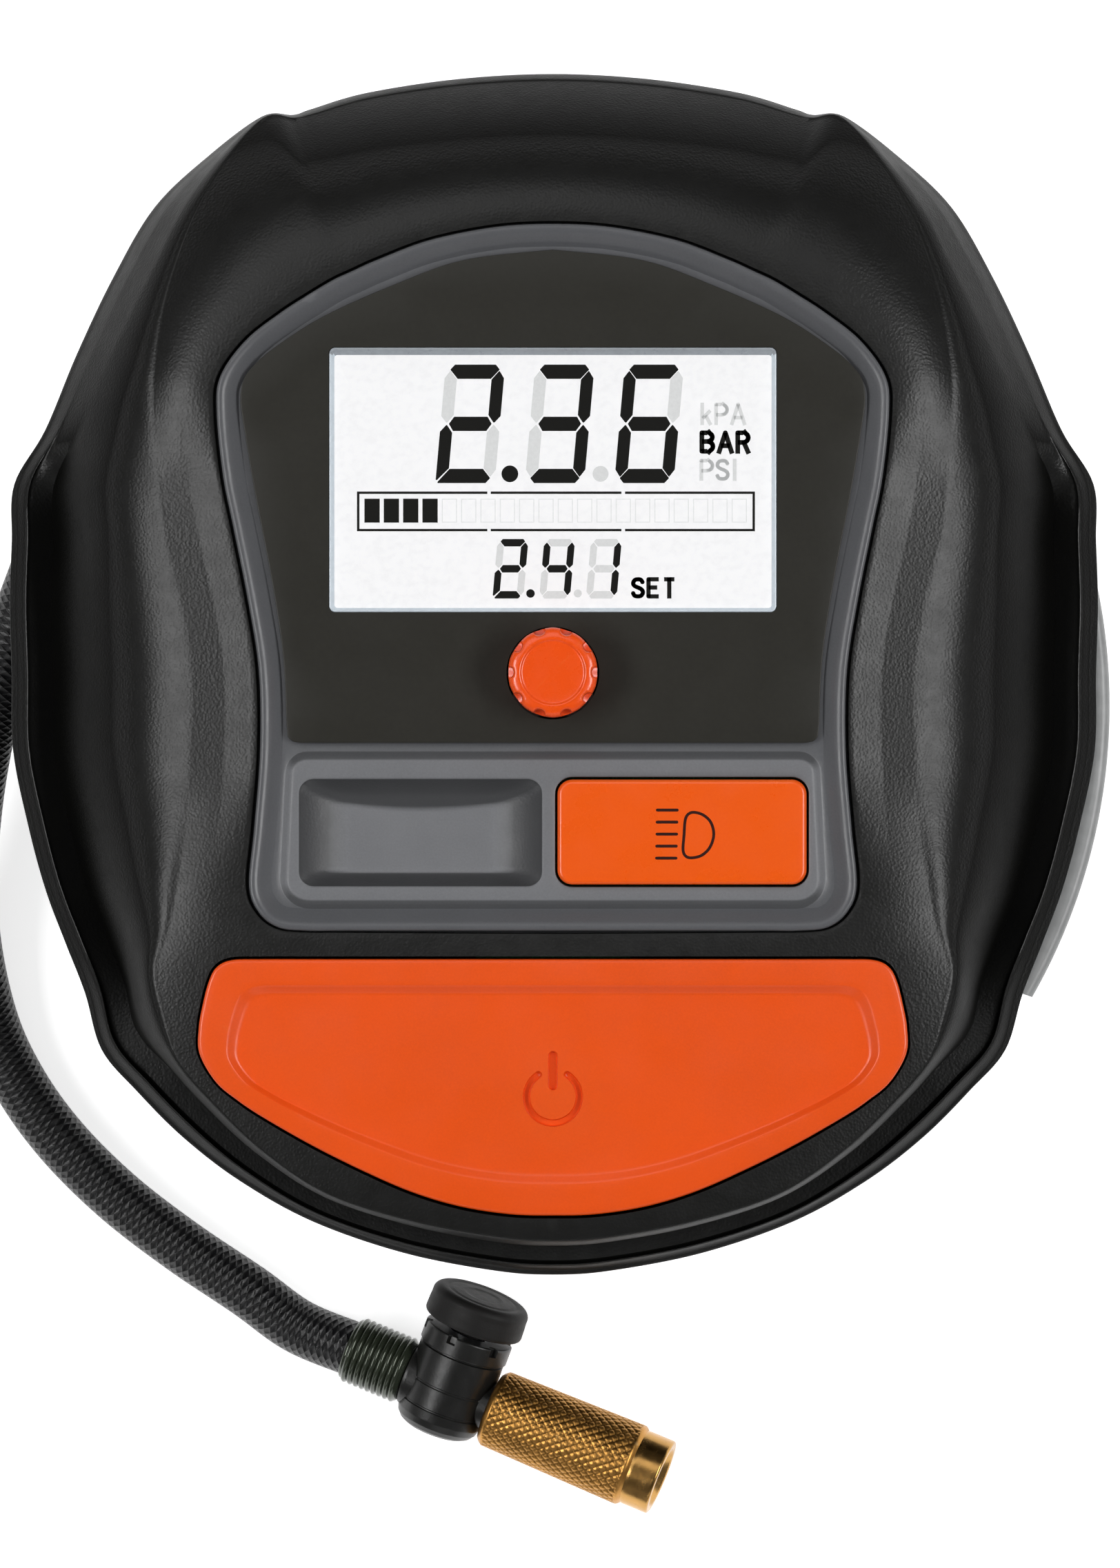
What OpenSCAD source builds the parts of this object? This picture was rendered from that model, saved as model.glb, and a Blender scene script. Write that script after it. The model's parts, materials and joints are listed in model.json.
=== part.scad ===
// Tyre inflator with a digital gauge, lying on its back with the display facing +Z.
// Its 0.6 m air hose is wound once round a groove in the housing and ends in a screw-on chuck.
// Millimetres. The origin is on the housing's centre plane, where its feet stand.

/* [Housing] */
// Width of the housing, without the lamp
body_w = 172; // [168:1:184]
// Length of the housing
body_l = 190; // [184:1:204]
// Height of the cover's flat top above the floor
cover_top = 76; // [76:0.5:80]
// Thickness of the cover and base walls
wall = 2.2; // [1.8:0.1:2.6]
// Height of the lip's crest above the floor
lip_z = 50; // [48:0.5:53]
// Height of the base shell's upper edge, the floor of the hose groove
groove_floor = 19; // [18.5:0.5:20]
// Height of the cover's lower edge, the roof of the hose groove
groove_roof = 33; // [32:0.5:34]
// Outer radius of the drum inside the hose groove
drum_r = 69; // [68:0.5:69.5]
// Radius of the circle of housing screws
screw_circle_r = 63; // [62:0.5:63.5]
// Diameter of a housing screw
screw_d = 3.5; // [3:0.1:4]
// Diameter of a rubber foot
foot_d = 14; // [10:1:16]
// Thickness of a rubber foot
foot_h = 1.5; // [1:0.1:2]

/* [Display] */
// Width of the grey display frame
bezel_w = 103.8; // [100:0.2:106]
// Length of the grey display frame
bezel_l = 108.9; // [106:0.2:110]
// Gap round the display frame
bezel_gap = 0.4; // [0.2:0.1:0.6]
// Height of the display frame's raised rim over its face
rim_h = 1.9; // [1:0.1:2.4]
// Width of the sloping rim
rim_w = 3.4; // [2.4:0.2:4]
// Width of the liquid crystal window
lcd_w = 69; // [64:0.5:69.5]
// Length of the liquid crystal window
lcd_l = 40.8; // [38:0.2:41]
// Thickness of the dark display panel
panel_t = 1.2; // [0.8:0.1:1.6]
// Thickness of the circuit board
pcb_t = 1.6; // [1:0.1:2]

/* [Controls] */
// Diameter of the target pressure knob
knob_d = 13.8; // [12:0.2:14.4]
// Height of the knob's face above the display frame
knob_rise = 8; // [6:0.5:10]
// Number of finger notches round the knob
knob_notches = 10; // [6:1:12]
// Width of the lamp button
light_w = 38.4; // [36:0.2:38.6]
// Length of the lamp button
light_l = 16.2; // [14:0.2:16.4]
// Gap round each push button
button_gap = 0.35; // [0.25:0.05:0.5]
// Travel of the start and lamp buttons
button_travel = 0.8; // [0.4:0.1:1]
// Travel of the knob when it is pushed
knob_travel = 0.5; // [0.3:0.1:0.7]
// Depth of the start button's sunken field
start_field_depth = 0.6; // [0.3:0.1:1]

/* [Compressor] */
// Module of the gear pair
gear_module = 0.6; // [0.59:0.01:0.61]
// Width of the gear teeth
gear_t = 5; // [4:0.2:5]
// Diameter of the motor
motor_d = 32; // [28:0.5:32.5]
// Length of the motor's can
motor_l = 40; // [36:0.5:40]
// Diameter of the motor's shaft
motor_shaft_d = 3.2; // [2.6:0.1:3.6]
// Bore of the cylinder
bore_d = 24; // [22:0.5:25]
// Stroke of the piston
stroke = 12; // [10:0.5:12]
// Diameter of the cooling fins
fin_d = 34; // [32:0.5:34]
// Diameter of the crank shaft
crank_shaft_d = 5; // [4:0.2:6]

/* [Lamp] */
// Radius of the lamp's curved lens
lens_r = 93; // [92:0.1:94]
// Thickness of the lens
lens_t = 1.8; // [1.2:0.1:2]
// Number of light emitting diodes
led_count = 6; // [3:1:8]

/* [Hose and chuck] */
// Outer diameter of the braided hose
hose_d = 9; // [8:0.2:9.4]
// Diameter of the ribbed ferrule
ferrule_d = 11.2; // [10:0.2:11.2]
// Length of the ribbed ferrule
ferrule_l = 10.4; // [9.6:0.2:12]
// Number of ribs on the ferrule
ferrule_ribs = 9; // [5:1:12]
// Diameter of the chuck's black body
chuck_d = 14.3; // [13:0.1:14.6]
// Diameter of the air release cap
bleed_cap_d = 16.5; // [15:0.1:16.6]
// Travel of the air release cap
bleed_travel = 1; // [0.6:0.1:1.2]
// Diameter of the knurled brass sleeve at its inner end
sleeve_d = 12.8; // [12:0.1:13.2]
// Length of the knurled brass sleeve
sleeve_l = 25.5; // [22:0.5:28]
// Diameter of the smooth brass nose
nose_d = 12.6; // [11.6:0.1:12.8]
// Length of the smooth brass nose
nose_l = 4.8; // [4:0.2:6]
// Radius of the threaded hole for a tyre valve
valve_r = 3.85; // [3.8:0.01:3.9]
// Depth of the threaded hole
valve_depth = 6.4; // [6:0.2:8]

/* [Hidden] */
$fn = 48;
eps = 0.01;

// ---- Outline stations of the cover's right half, from the top centre to the bottom centre ----
// Each row: display frame edge x, y; housing edge x, y; ridge's share of the way between
// them; how far the ridge lies below the flat top; strength of the lip; strength of the lamp recess.
drawn_body = [172, 190];
drawn_bezel = [103.8, 108.9];
stations = [
    [0, 68.9, 0, 94.9, 0.94, 24.5, 0, 0],
    [9, 68.4, 15, 94.1, 0.94, 24.3, 0, 0],
    [19, 66.4, 29.5, 91.9, 0.94, 23.5, 0, 0],
    [27, 63.4, 38.3, 89.3, 0.94, 22, 0, 0],
    [31, 61.6, 41, 88.4, 0.95, 20.5, 0, 0],
    [34, 60.2, 46, 88.1, 0.95, 17.5, 0, 0],
    [38, 57.8, 54.5, 81.9, 0.84, 11, 0, 0],
    [42, 55.2, 63, 73.8, 0.7, 7.5, 0, 0],
    [47.3, 51, 69.5, 62.8, 0.57, 5, 0, 0],
    [51.2, 45.5, 75.3, 50.6, 0.43, 3.4, 0, 0],
    [51.8, 40, 80.3, 38.6, 0.35, 2.6, 0.1, 0.4],
    [50.8, 30, 85.2, 30, 0.3, 2.2, 0.7, 1],
    [49.2, 22, 85.6, 21, 0.3, 2, 1, 1],
    [47, 11, 85.9, 11, 0.27, 1.8, 1, 1],
    [45.3, 0, 85.6, 0, 0.26, 1.7, 1, 1],
    [45.1, -12, 85.4, -12, 0.27, 1.7, 1, 1],
    [46, -24, 83, -24, 0.29, 1.7, 1, 1],
    [46.8, -33, 80.3, -34, 0.34, 1.7, 1, 1],
    [45.3, -37.2, 77.2, -42.3, 0.44, 1.9, 1, 1],
    [42.3, -39.5, 74, -50.5, 0.6, 2, 0.9, 1],
    [38, -40, 71.4, -59.4, 0.66, 2.1, 0.8, 0.5],
    [33, -40, 65.8, -66, 0.76, 2.5, 0.8, 0],
    [27, -40, 58.5, -73.3, 0.8, 2.9, 0.8, 0],
    [20.5, -40, 49.5, -80.2, 0.84, 3.3, 0.8, 0],
    [14, -40, 38, -86.6, 0.87, 3.8, 0.8, 0],
    [7.5, -40, 23.5, -91.6, 0.87, 4.3, 0.8, 0],
    [3, -40, 9, -94.4, 0.87, 4.7, 0.8, 0],
    [0, -40, 0, -95, 0.87, 4.9, 0.8, 0]
];
// Points made between two neighbouring stations
station_steps = 2;

// Right half of the dark display panel's edge, from the top centre to the bottom centre
panel_half = [
    [0, 65.4], [13.8, 63.8], [24.8, 59.9], [35.9, 54.9], [43.6, 49.9], [47.8, 45.7], [48.7, 42.2],
    [48.3, 39], [46.4, 27.6], [43.7, 13.5], [42, 2], [41.5, -8], [40.6, -11.2], [38, -11.5], [0, -11.5]
];
// Right half of the start button's edge, from the top centre to the bottom centre
start_half = [
    [0, -44.4], [49.6, -44.4], [52, -45.4], [53.2, -48], [54.6, -55], [54.5, -59], [52, -63.4],
    [44.9, -68.8], [37.3, -73.2], [29.6, -77.1], [21.9, -80.5], [14.3, -82.8], [6.6, -84], [0, -84.2]
];

// ---- Curves ----
function mix(a, b, t) = a + (b - a) * t;
function unit(v) = v / norm(v);
function xy(p) = [p[0], p[1]];
function mirrored(p) = [for (i = [0 : len(p) - 1]) i == 0 || i == 2 ? -p[i] : p[i]];

// A smooth curve's value between b and c, with a and d as the neighbours
function spline(a, b, c, d, t) =
    0.5 * (2 * b + (c - a) * t + (2 * a - 5 * b + 4 * c - d) * t * t
        + (3 * b - a - 3 * c + d) * t * t * t);

function station(i) =
    let (n = len(stations) - 1)
    i < 0 ? mirrored(stations[-i]) : i > n ? mirrored(stations[2 * n - i]) : stations[i];

function scaled(s) = [
    s[0] * bezel_w / drawn_bezel[0], s[1] * bezel_l / drawn_bezel[1],
    s[2] * body_w / drawn_body[0], s[3] * body_l / drawn_body[1],
    s[4], s[5], s[6], s[7]
];

half_rows = [
    for (i = [0 : len(stations) - 2]) for (k = [0 : station_steps - 1])
        scaled(spline(station(i - 1), station(i), station(i + 1), station(i + 2), k / station_steps)),
    scaled(stations[len(stations) - 1])
];
// The left half has no lamp recess
function left_row(s) = [-s[0], s[1], -s[2], s[3], s[4], s[5], s[6], 0];
// All rows, clockwise from the top centre
rows = concat(half_rows, [for (i = [len(half_rows) - 2 : -1 : 1]) left_row(half_rows[i])]);

function whole(half) = concat(half, [for (i = [len(half) - 2 : -1 : 1]) [-half[i][0], half[i][1]]]);

// A closed clockwise outline moved outwards by d
function grown(pts, d) =
    let (n = len(pts))
    [for (i = [0 : n - 1])
        let (
            e1 = unit(pts[i] - pts[(i + n - 1) % n]),
            e2 = unit(pts[(i + 1) % n] - pts[i]),
            side = unit([-e1[1] - e2[1], e1[0] + e2[0]]),
            lean = max(0.6, side * [-e1[1], e1[0]])
        )
        pts[i] + side * (d / lean)];

bezel_edge = [for (r = rows) [r[0], r[1]]];
panel_edge = whole(panel_half);
start_edge = whole(start_half);
// The start button's edge drawn in by d at the sides, the top and the bottom
function start_inside(side, top, bottom) =
    let (
        low = start_half[len(start_half) - 1][1], high = start_half[0][1],
        half_w = max([for (p = start_half) p[0]]),
        sx = 1 - side / half_w, sy = 1 - (top + bottom) / (high - low)
    )
    [for (p = start_edge) [p[0] * sx, low + bottom + (p[1] - low) * sy]];

// ---- Cover and base profiles at one row ----
function outward(r) = unit([r[2] - r[0], r[3] - r[1]]);
// The point d inside the housing's edge
function inside(r, d) = [r[2], r[3]] - d * outward(r);
function at(p, z) = [p[0], p[1], z];
function turned_round(l) = [for (i = [len(l) - 1 : -1 : 0]) l[i]];

edge_z = lip_z - 3.5;
valley_z = lip_z - 2.8;
lip_inset = 3.3;
valley_inset = 6;
frame_edge_z = cover_top - 0.3;
opening_depth = 2.8;
boss_d = 8;
// Gap between each screw boss and the joint face of its shell
boss_clear = 0.1;
flange_r = drum_r - 3;

function ridge_at(r) = mix([r[0], r[1]], [r[2], r[3]], r[4]);
function side_span(r) = norm([r[2], r[3]] - ridge_at(r));
// Height of the plain convex side at a share t of the way from the ridge to the edge
function side_z(r, t) = mix(cover_top - r[5], edge_z, pow(t, 1.6));
// The point on the top between the display frame and the ridge
function top_point(r, t) =
    at(mix([r[0], r[1]], ridge_at(r), t) + bezel_gap * (1 - t) * outward(r),
       mix(frame_edge_z, cover_top - r[5], pow(t, 2.3)));
function valley(r) =
    let (span = side_span(r), d = min(valley_inset, 0.66 * span))
    at(inside(r, d), mix(side_z(r, 1 - d / span), valley_z, r[6]));
function crest(r) =
    let (span = side_span(r), d = min(lip_inset, 0.33 * span))
    at(inside(r, d), mix(side_z(r, 1 - d / span), lip_z, r[6]));
// The point on the side between the ridge and the valley
function side_point(r, t) =
    let (a = ridge_at(r), v = valley(r))
    at(mix(a, xy(v), t), mix(cover_top - r[5], v[2], pow(t, 1.8)));

wall_inset = 4;
lamp_inset = 6.2;
function lower_wall_inset(r) = mix(wall_inset, lamp_inset, r[7]);
function on_circle(r, radius) = radius * unit(inside(r, wall_inset));

function cover_loop(r) =
    let (w = lower_wall_inset(r), back = -wall * outward(r))
    [
        at(xy(top_point(r, 0)), frame_edge_z - opening_depth),
        top_point(r, 0), top_point(r, 0.3), top_point(r, 0.55), top_point(r, 0.8), top_point(r, 1),
        side_point(r, 0.2), side_point(r, 0.4), side_point(r, 0.6), side_point(r, 0.8),
        valley(r), crest(r), at(inside(r, 1), edge_z + 1.4), at(inside(r, 0), edge_z),
        at(inside(r, mix(1, lamp_inset, r[7])), mix(edge_z - 4.5, edge_z - 0.7, r[7])),
        at(inside(r, w), groove_roof),
        at(on_circle(r, flange_r), groove_roof),
        at(on_circle(r, flange_r), groove_roof + wall),
        at(inside(r, w + wall), groove_roof + wall),
        at(inside(r, lamp_inset + wall + 0.3), edge_z - 3.5),
        side_point(r, 0.8) + at(back, -2), side_point(r, 0.4) + at(back, -2),
        top_point(r, 1) + at(back, -2), top_point(r, 0.5) + at(back / 3, -wall)
    ];

function base_loop(r) = [
    at(on_circle(r, drum_r + 0.5), foot_h),
    at(inside(r, 12), foot_h), at(inside(r, 8.4), foot_h + 1.3), at(inside(r, 6.4), foot_h + 5),
    at(inside(r, 5.2), foot_h + 11), at(inside(r, 4.6), groove_floor),
    at(on_circle(r, flange_r), groove_floor), at(on_circle(r, flange_r), groove_floor - wall),
    at(inside(r, 5 + wall), groove_floor - wall), at(inside(r, 7.6 + wall), foot_h + 6),
    at(inside(r, 10 + wall), foot_h + wall + 0.3), at(on_circle(r, drum_r + 0.5), foot_h + wall + 0.3)
];

// A closed ring swept through loops of points, each loop joined to the next
module ring_of_loops(loops) {
    n = len(loops);
    m = len(loops[0]);
    points = [for (l = loops) each l];
    faces = [
        for (i = [0 : n - 1]) for (k = [0 : m - 1])
            let (
                a = i * m + k, b = i * m + (k + 1) % m,
                c = ((i + 1) % n) * m + (k + 1) % m, d = ((i + 1) % n) * m + k
            )
            each [[a, d, b], [d, c, b]]
    ];
    polyhedron(points = points, faces = faces, convexity = 12);
}

// A tube swept along a path, square to it at each point; the path is never along the reference
module swept_tube(path, d, sides, reference = [0, 0, 1]) {
    n = len(path);
    tangents = [
        for (i = [0 : n - 1]) unit(path[min(i + 1, n - 1)] - path[max(i - 1, 0)])
    ];
    points = [
        for (i = [0 : n - 1]) for (k = [0 : sides - 1])
            let (
                t = tangents[i],
                side = unit(cross(t, reference)),
                up = cross(side, t),
                a = 360 * (k + 0.5) / sides
            )
            path[i] + (side * cos(a) + up * sin(a)) * d / 2
    ];
    skin = [
        for (i = [0 : n - 2]) for (k = [0 : sides - 1])
            let (a = i * sides + k, b = i * sides + (k + 1) % sides)
            each [[a, b, a + sides], [b, b + sides, a + sides]]
    ];
    ends = [
        for (k = [1 : sides - 2])
            each [[0, k + 1, k], [(n - 1) * sides, (n - 1) * sides + k, (n - 1) * sides + k + 1]]
    ];
    polyhedron(points = points, faces = concat(skin, ends), convexity = 8);
}

// A smooth path through chosen points
function smooth_path(pts, steps) = [
    for (i = [0 : len(pts) - 2]) for (k = [0 : steps - 1])
        spline(pts[max(i - 1, 0)], pts[i], pts[i + 1], pts[min(i + 2, len(pts) - 1)], k / steps),
    pts[len(pts) - 1]
];

// ---- Placing helpers ----
// The children's Z axis lies along X
module along_x(x, y, z) {
    translate([x, y, z]) rotate([90, 0, 90]) children();
}
// The children's Z axis lies along Y
module along_y(x, y, z) {
    translate([x, y, z]) rotate([-90, 0, 0]) children();
}
module ring(d_out, d_in, h) {
    difference() {
        cylinder(d = d_out, h = h);
        translate([0, 0, -1]) cylinder(d = d_in, h = h + 2);
    }
}
// A rectangle with round corners, centred on the origin
module round_rect(w, l, r) {
    union() {
        square([w - 2 * r, l], center = true);
        square([w, l - 2 * r], center = true);
        for (x = [-1, 1]) for (y = [-1, 1])
            translate([x * (w / 2 - r), y * (l / 2 - r)]) circle(r = r);
    }
}

screw_angles = [15, 50, 115, 145, 250, 305];
foot_angles = [32.5, 130, 220, 325];
module at_screws() {
    for (a = screw_angles) rotate([0, 0, a]) translate([screw_circle_r, 0, 0]) children();
}

// ---- Heights of the stack under the display ----
face_z = cover_top - 1;
pcb_top = face_z - 9;
bezel_base = face_z - 5.4;
bezel_flange_t = 1.8;
bezel_flange_w = 2.2;
plateau_t = 0.9;
knob_y = -0.3;
lcd_y = 29.5;
post_d = 6;
post_places = [[-31, 54], [31, 54], [-36, -10], [36, -10]];
light_at = [19.9, -24.8];
recess_at = [-20.4, -24.9];
recess_size = [37.4, 16.4];
recess_depth = 1.6;
control_corner_r = 2.3;
start_switch_y = -64;
switch_w = 6;
switch_h = 3.5;
plunger_d = 3.4;
plunger_top = pcb_top + switch_h + 1.5;

// ---- Housing ----
cable_z = foot_h + 9.5;
cable_bore_r = 3;
grommet_d = 8.8;
grommet_flange_d = 12;
grommet_l = 7.6;

module base_shell() {
    floor_top = foot_h + wall + 0.3;
    color("#1e1f1f") difference() {
        union() {
            ring_of_loops([for (r = rows) base_loop(r)]);
            translate([0, 0, foot_h]) cylinder(r = drum_r + 1, h = floor_top - foot_h, $fn = 96);
            at_screws() translate([0, 0, foot_h + 1])
                cylinder(d = boss_d, h = groove_floor - boss_clear - foot_h - 1);
            for (p = bush_places) translate([p[0], p[1], foot_h + 1])
                cylinder(d = bush_d, h = bush_z - foot_h - 1);
        }
        at_screws() {
            translate([0, 0, foot_h - 1]) cylinder(d = screw_d + 0.4, h = groove_floor);
            translate([0, 0, foot_h - 1]) cylinder(d = screw_head_d + 0.4, h = screw_head_h + 1.8);
        }
        for (p = bush_places) translate([p[0], p[1], bush_z - frame_screw_bite])
            cylinder(d = frame_screw_d, h = frame_screw_bite + 1);
        along_y(0, body_l / 2 - 14, cable_z) cylinder(d = grommet_d + 0.2, h = 14);
    }
}

module drum_block() {
    rotate([0, 0, block_from]) rotate_extrude(angle = block_to - block_from, $fn = 96)
        translate([drum_r - 1, groove_floor + 0.3]) square([block_depth + 1, groove_roof - groove_floor - 0.6]);
}

module hose_drum() {
    h = groove_roof - groove_floor;
    color("#1e1f1f") difference() {
        union() {
            translate([0, 0, groove_floor]) difference() {
                cylinder(r = drum_r, h = h, $fn = 96);
                translate([0, 0, -1]) cylinder(r = flange_r, h = h + 2, $fn = 96);
            }
            drum_block();
            at_screws() translate([0, 0, groove_floor + boss_clear])
                cylinder(d = boss_d, h = h - 2 * boss_clear);
            rotate([0, 0, 180]) translate([flange_r - nipple_l, 0, gland_z])
                rotate([0, 90, 0]) cylinder(d = tube_d, h = nipple_l + 1);
        }
        at_screws() translate([0, 0, groove_floor - 1]) cylinder(d = screw_d + 0.4, h = h + 2);
        rotate([0, 0, 180]) translate([flange_r - nipple_l - 1, 0, gland_z])
            rotate([0, 90, 0]) cylinder(d = air_bore_d, h = hose_loop_r - flange_r + nipple_l + 1);
        at_gland() translate([0, 0, -14]) cylinder(d = air_bore_d, h = 15);
    }
}

cover_boss_h = 11;
module front_cover() {
    color("#1e1f1f") difference() {
        union() {
            ring_of_loops([for (r = rows) turned_round(cover_loop(r))]);
            at_screws() translate([0, 0, groove_roof + boss_clear])
                cylinder(d = boss_d, h = cover_boss_h - boss_clear);
        }
        translate([0, 0, cover_top - 14]) linear_extrude(20) polygon(grown(start_edge, button_gap));
        at_screws() translate([0, 0, groove_roof - 1]) cylinder(d = screw_d, h = screw_bite + 1);
    }
}

screw_head_d = 7;
screw_head_h = 2.4;
screw_bite = 8;
module housing_screws() {
    color("#8a8c8e") at_screws() {
        translate([0, 0, foot_h + 0.8]) cylinder(d = screw_head_d, h = screw_head_h - 0.4);
        translate([0, 0, foot_h + 1]) cylinder(d = screw_d, h = groove_roof + screw_bite - foot_h - 1);
    }
}

module rubber_feet() {
    color("#151515") for (a = foot_angles)
        rotate([0, 0, a]) translate([64, 0, 0]) cylinder(d = foot_d, h = foot_h);
}

module cable_grommet() {
    outer_y = body_l / 2 - 4.9;
    color("#121212") difference() {
        union() {
            along_y(0, outer_y - grommet_l, cable_z) cylinder(d = grommet_d, h = grommet_l + 1);
            along_y(0, outer_y, cable_z) cylinder(d = grommet_flange_d, h = 2);
            along_y(0, outer_y - grommet_l, cable_z) cylinder(d = grommet_d + 1, h = 1.6);
        }
        along_y(0, outer_y - grommet_l - 1, cable_z) cylinder(r = cable_bore_r, h = grommet_l + 4);
    }
}

// ---- Display ----
// The rim: a low wall at the display frame's edge, sloping in to the face
function rim_loop(i, outer, inner) = [
    at(outer[i], face_z - 1), at(outer[i], face_z + rim_h - 0.5),
    at(mix(outer[i], inner[i], 0.12), face_z + rim_h), at(mix(outer[i], inner[i], 0.3), face_z + rim_h - 0.2),
    at(inner[i], face_z), at(inner[i], face_z - 1)
];

module bezel_frame() {
    inner = grown(bezel_edge, -rim_w);
    color("#4a4b50") difference() {
        union() {
            ring_of_loops([for (i = [0 : len(bezel_edge) - 1]) rim_loop(i, bezel_edge, inner)]);
            translate([0, 0, bezel_base]) linear_extrude(face_z - bezel_base) polygon(bezel_edge);
            translate([0, 0, bezel_base]) linear_extrude(bezel_flange_t)
                polygon(grown(bezel_edge, bezel_flange_w));
            translate([0, recess_at[1], face_z - 1])
                linear_extrude(1 + plateau_t) round_rect(84, 21, 6);
            for (p = post_places) translate([p[0], p[1], pcb_top])
                cylinder(d = post_d, h = bezel_base - pcb_top + 1);
        }
        translate([0, lcd_y, bezel_base - 1]) linear_extrude(10) square([lcd_w + 1.4, lcd_l + 1.4], center = true);
        translate([0, knob_y, bezel_base - 1]) cylinder(d = knob_d + 1.2, h = 12);
        translate([light_at[0], light_at[1], bezel_base - 1]) linear_extrude(12)
            round_rect(light_w + 2 * button_gap, light_l + 2 * button_gap, control_corner_r + button_gap);
        translate([recess_at[0], recess_at[1], face_z + plateau_t - recess_depth]) linear_extrude(8)
            round_rect(recess_size[0], recess_size[1], control_corner_r);
        for (p = post_places) translate([p[0], p[1], pcb_top - 1]) cylinder(d = 2, h = 6);
    }
}

module display_panel() {
    color("#2d2b27") translate([0, 0, face_z]) difference() {
        linear_extrude(panel_t) polygon(grown(panel_edge, -0.5));
        translate([0, lcd_y, -1]) linear_extrude(panel_t + 2) square([lcd_w, lcd_l], center = true);
        translate([0, knob_y, -1]) cylinder(d = knob_d + 1.2, h = panel_t + 2);
    }
}

lcd_t = 3.3;
module lcd_module() {
    color("#f2f2f2") translate([0, lcd_y, face_z - lcd_t + 0.3]) union() {
        translate([-lcd_w / 2 - 0.3, -lcd_l / 2 - 0.3, 0]) cube([lcd_w + 0.6, lcd_l + 0.6, lcd_t - 0.4]);
        translate([-lcd_w / 2 + 0.1, -lcd_l / 2 + 0.1, 0]) cube([lcd_w - 0.2, lcd_l - 0.2, lcd_t]);
    }
}

module backlight_plate() {
    color("#e8e8e0") translate([-lcd_w / 2, lcd_y - lcd_l / 2, pcb_top])
        cube([lcd_w, lcd_l, face_z - lcd_t + 0.3 - pcb_top]);
}

pcb_half_w = 40;
pcb_y = [-37, 57];
module main_pcb() {
    color("#1c5c36") translate([0, 0, pcb_top - pcb_t]) difference() {
        union() {
            translate([-pcb_half_w, pcb_y[0], 0]) cube([2 * pcb_half_w, pcb_y[1] - pcb_y[0], pcb_t]);
            translate([-12, start_switch_y - 10, 0]) cube([24, pcb_y[0] - start_switch_y + 11, pcb_t]);
        }
        for (p = post_places) translate([p[0], p[1], -1]) cylinder(d = 2.8, h = pcb_t + 2);
    }
}

module pcb_screws() {
    color("#b8babc") for (p = post_places) translate([p[0], p[1], pcb_top]) {
        translate([0, 0, -pcb_t - 1.6]) cylinder(d = 5, h = 1.6);
        translate([0, 0, -pcb_t - 0.1]) cylinder(d = 2, h = pcb_t + 4.1);
    }
}

// ---- Lamp ----
lens_bulge = 2.2;
lens_centre = [body_w / 2 + lens_bulge - lens_r, -5];
lamp_reach = lens_r / 3;
lamp_z = [groove_roof + 0.6, edge_z - 0.9];
lamp_rows = [for (i = [11 * station_steps : 19 * station_steps]) half_rows[i]];
lamp_from = -23;
lamp_sweep = 33;

// The space between the housing's wall and a circle about the lens's centre
module lamp_space(radius, z0, z1, skip, clear) {
    last = len(lamp_rows) - 1 - skip;
    near_wall = [for (i = [skip : last]) inside(lamp_rows[i], lower_wall_inset(lamp_rows[i]) - clear)];
    far = [
        inside(lamp_rows[last], -lamp_reach),
        inside(lamp_rows[round(last / 2)], -1.3 * lamp_reach),
        inside(lamp_rows[skip], -lamp_reach)
    ];
    intersection() {
        translate([lens_centre[0], lens_centre[1], z0]) cylinder(r = radius, h = z1 - z0, $fn = 96);
        translate([0, 0, z0 - 1]) linear_extrude(z1 - z0 + 2) polygon(concat(near_wall, far));
    }
}

module lamp_lens() {
    color("#c4c6c6") difference() {
        lamp_space(lens_r, lamp_z[0], lamp_z[1], 0, 0.3);
        lamp_space(lens_r - lens_t, lamp_z[0] + lens_t, lamp_z[1] - lens_t, 1, -3);
    }
}

module lamp_arc(r0, r1, z0, z1) {
    translate([lens_centre[0], lens_centre[1], 0]) rotate([0, 0, lamp_from])
        rotate_extrude(angle = lamp_sweep, $fn = 96) translate([r0, z0]) square([r1 - r0, z1 - z0]);
}

module lamp_reflector() {
    r = lens_r - lens_t;
    color("#e4e6e8") union() {
        lamp_arc(r - 3.4, r - 0.6, lamp_z[0] + 1.9, lamp_z[0] + 2.7);
        lamp_arc(r - 3.4, r - 0.6, lamp_z[1] - 2.7, lamp_z[1] - 1.9);
        lamp_arc(r - 3.6, r - 3.3, lamp_z[0] + 1.9, lamp_z[0] + 3.3);
        lamp_arc(r - 3.6, r - 3.3, lamp_z[1] - 3.3, lamp_z[1] - 1.9);
        for (i = [0 : led_count])
            translate([lens_centre[0], lens_centre[1], lamp_z[0] + 2]) rotate([0, 0, led_angle(i - 0.5)])
                translate([r - 3.3, -0.3, 0]) cube([2, 0.6, lamp_z[1] - lamp_z[0] - 4]);
    }
}

function led_angle(i) = lamp_from + lamp_sweep * (i + 0.5) / led_count * 0.98 + 0.3;
module lamp_board() {
    r = lens_r - lens_t;
    color("#d8dcd8") union() {
        lamp_arc(r - 4.9, r - 3.8, lamp_z[0] + 2, lamp_z[1] - 2);
        for (i = [0 : led_count - 1])
            translate([lens_centre[0], lens_centre[1], (lamp_z[0] + lamp_z[1]) / 2])
                rotate([0, 0, led_angle(i)]) translate([r - 4, -1.4, -1.4]) cube([1.1, 2.8, 2.8]);
    }
}

// ---- Push buttons ----
crown_r = 220;
crown_top = cover_top + 0.4;
// The space below the start button's crowned face, lowered by drop
module below_crown(drop) {
    along_x(-70, pcb_y[0] - 3, crown_top - crown_r - drop) cylinder(r = crown_r, h = 140, $fn = 128);
}

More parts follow.
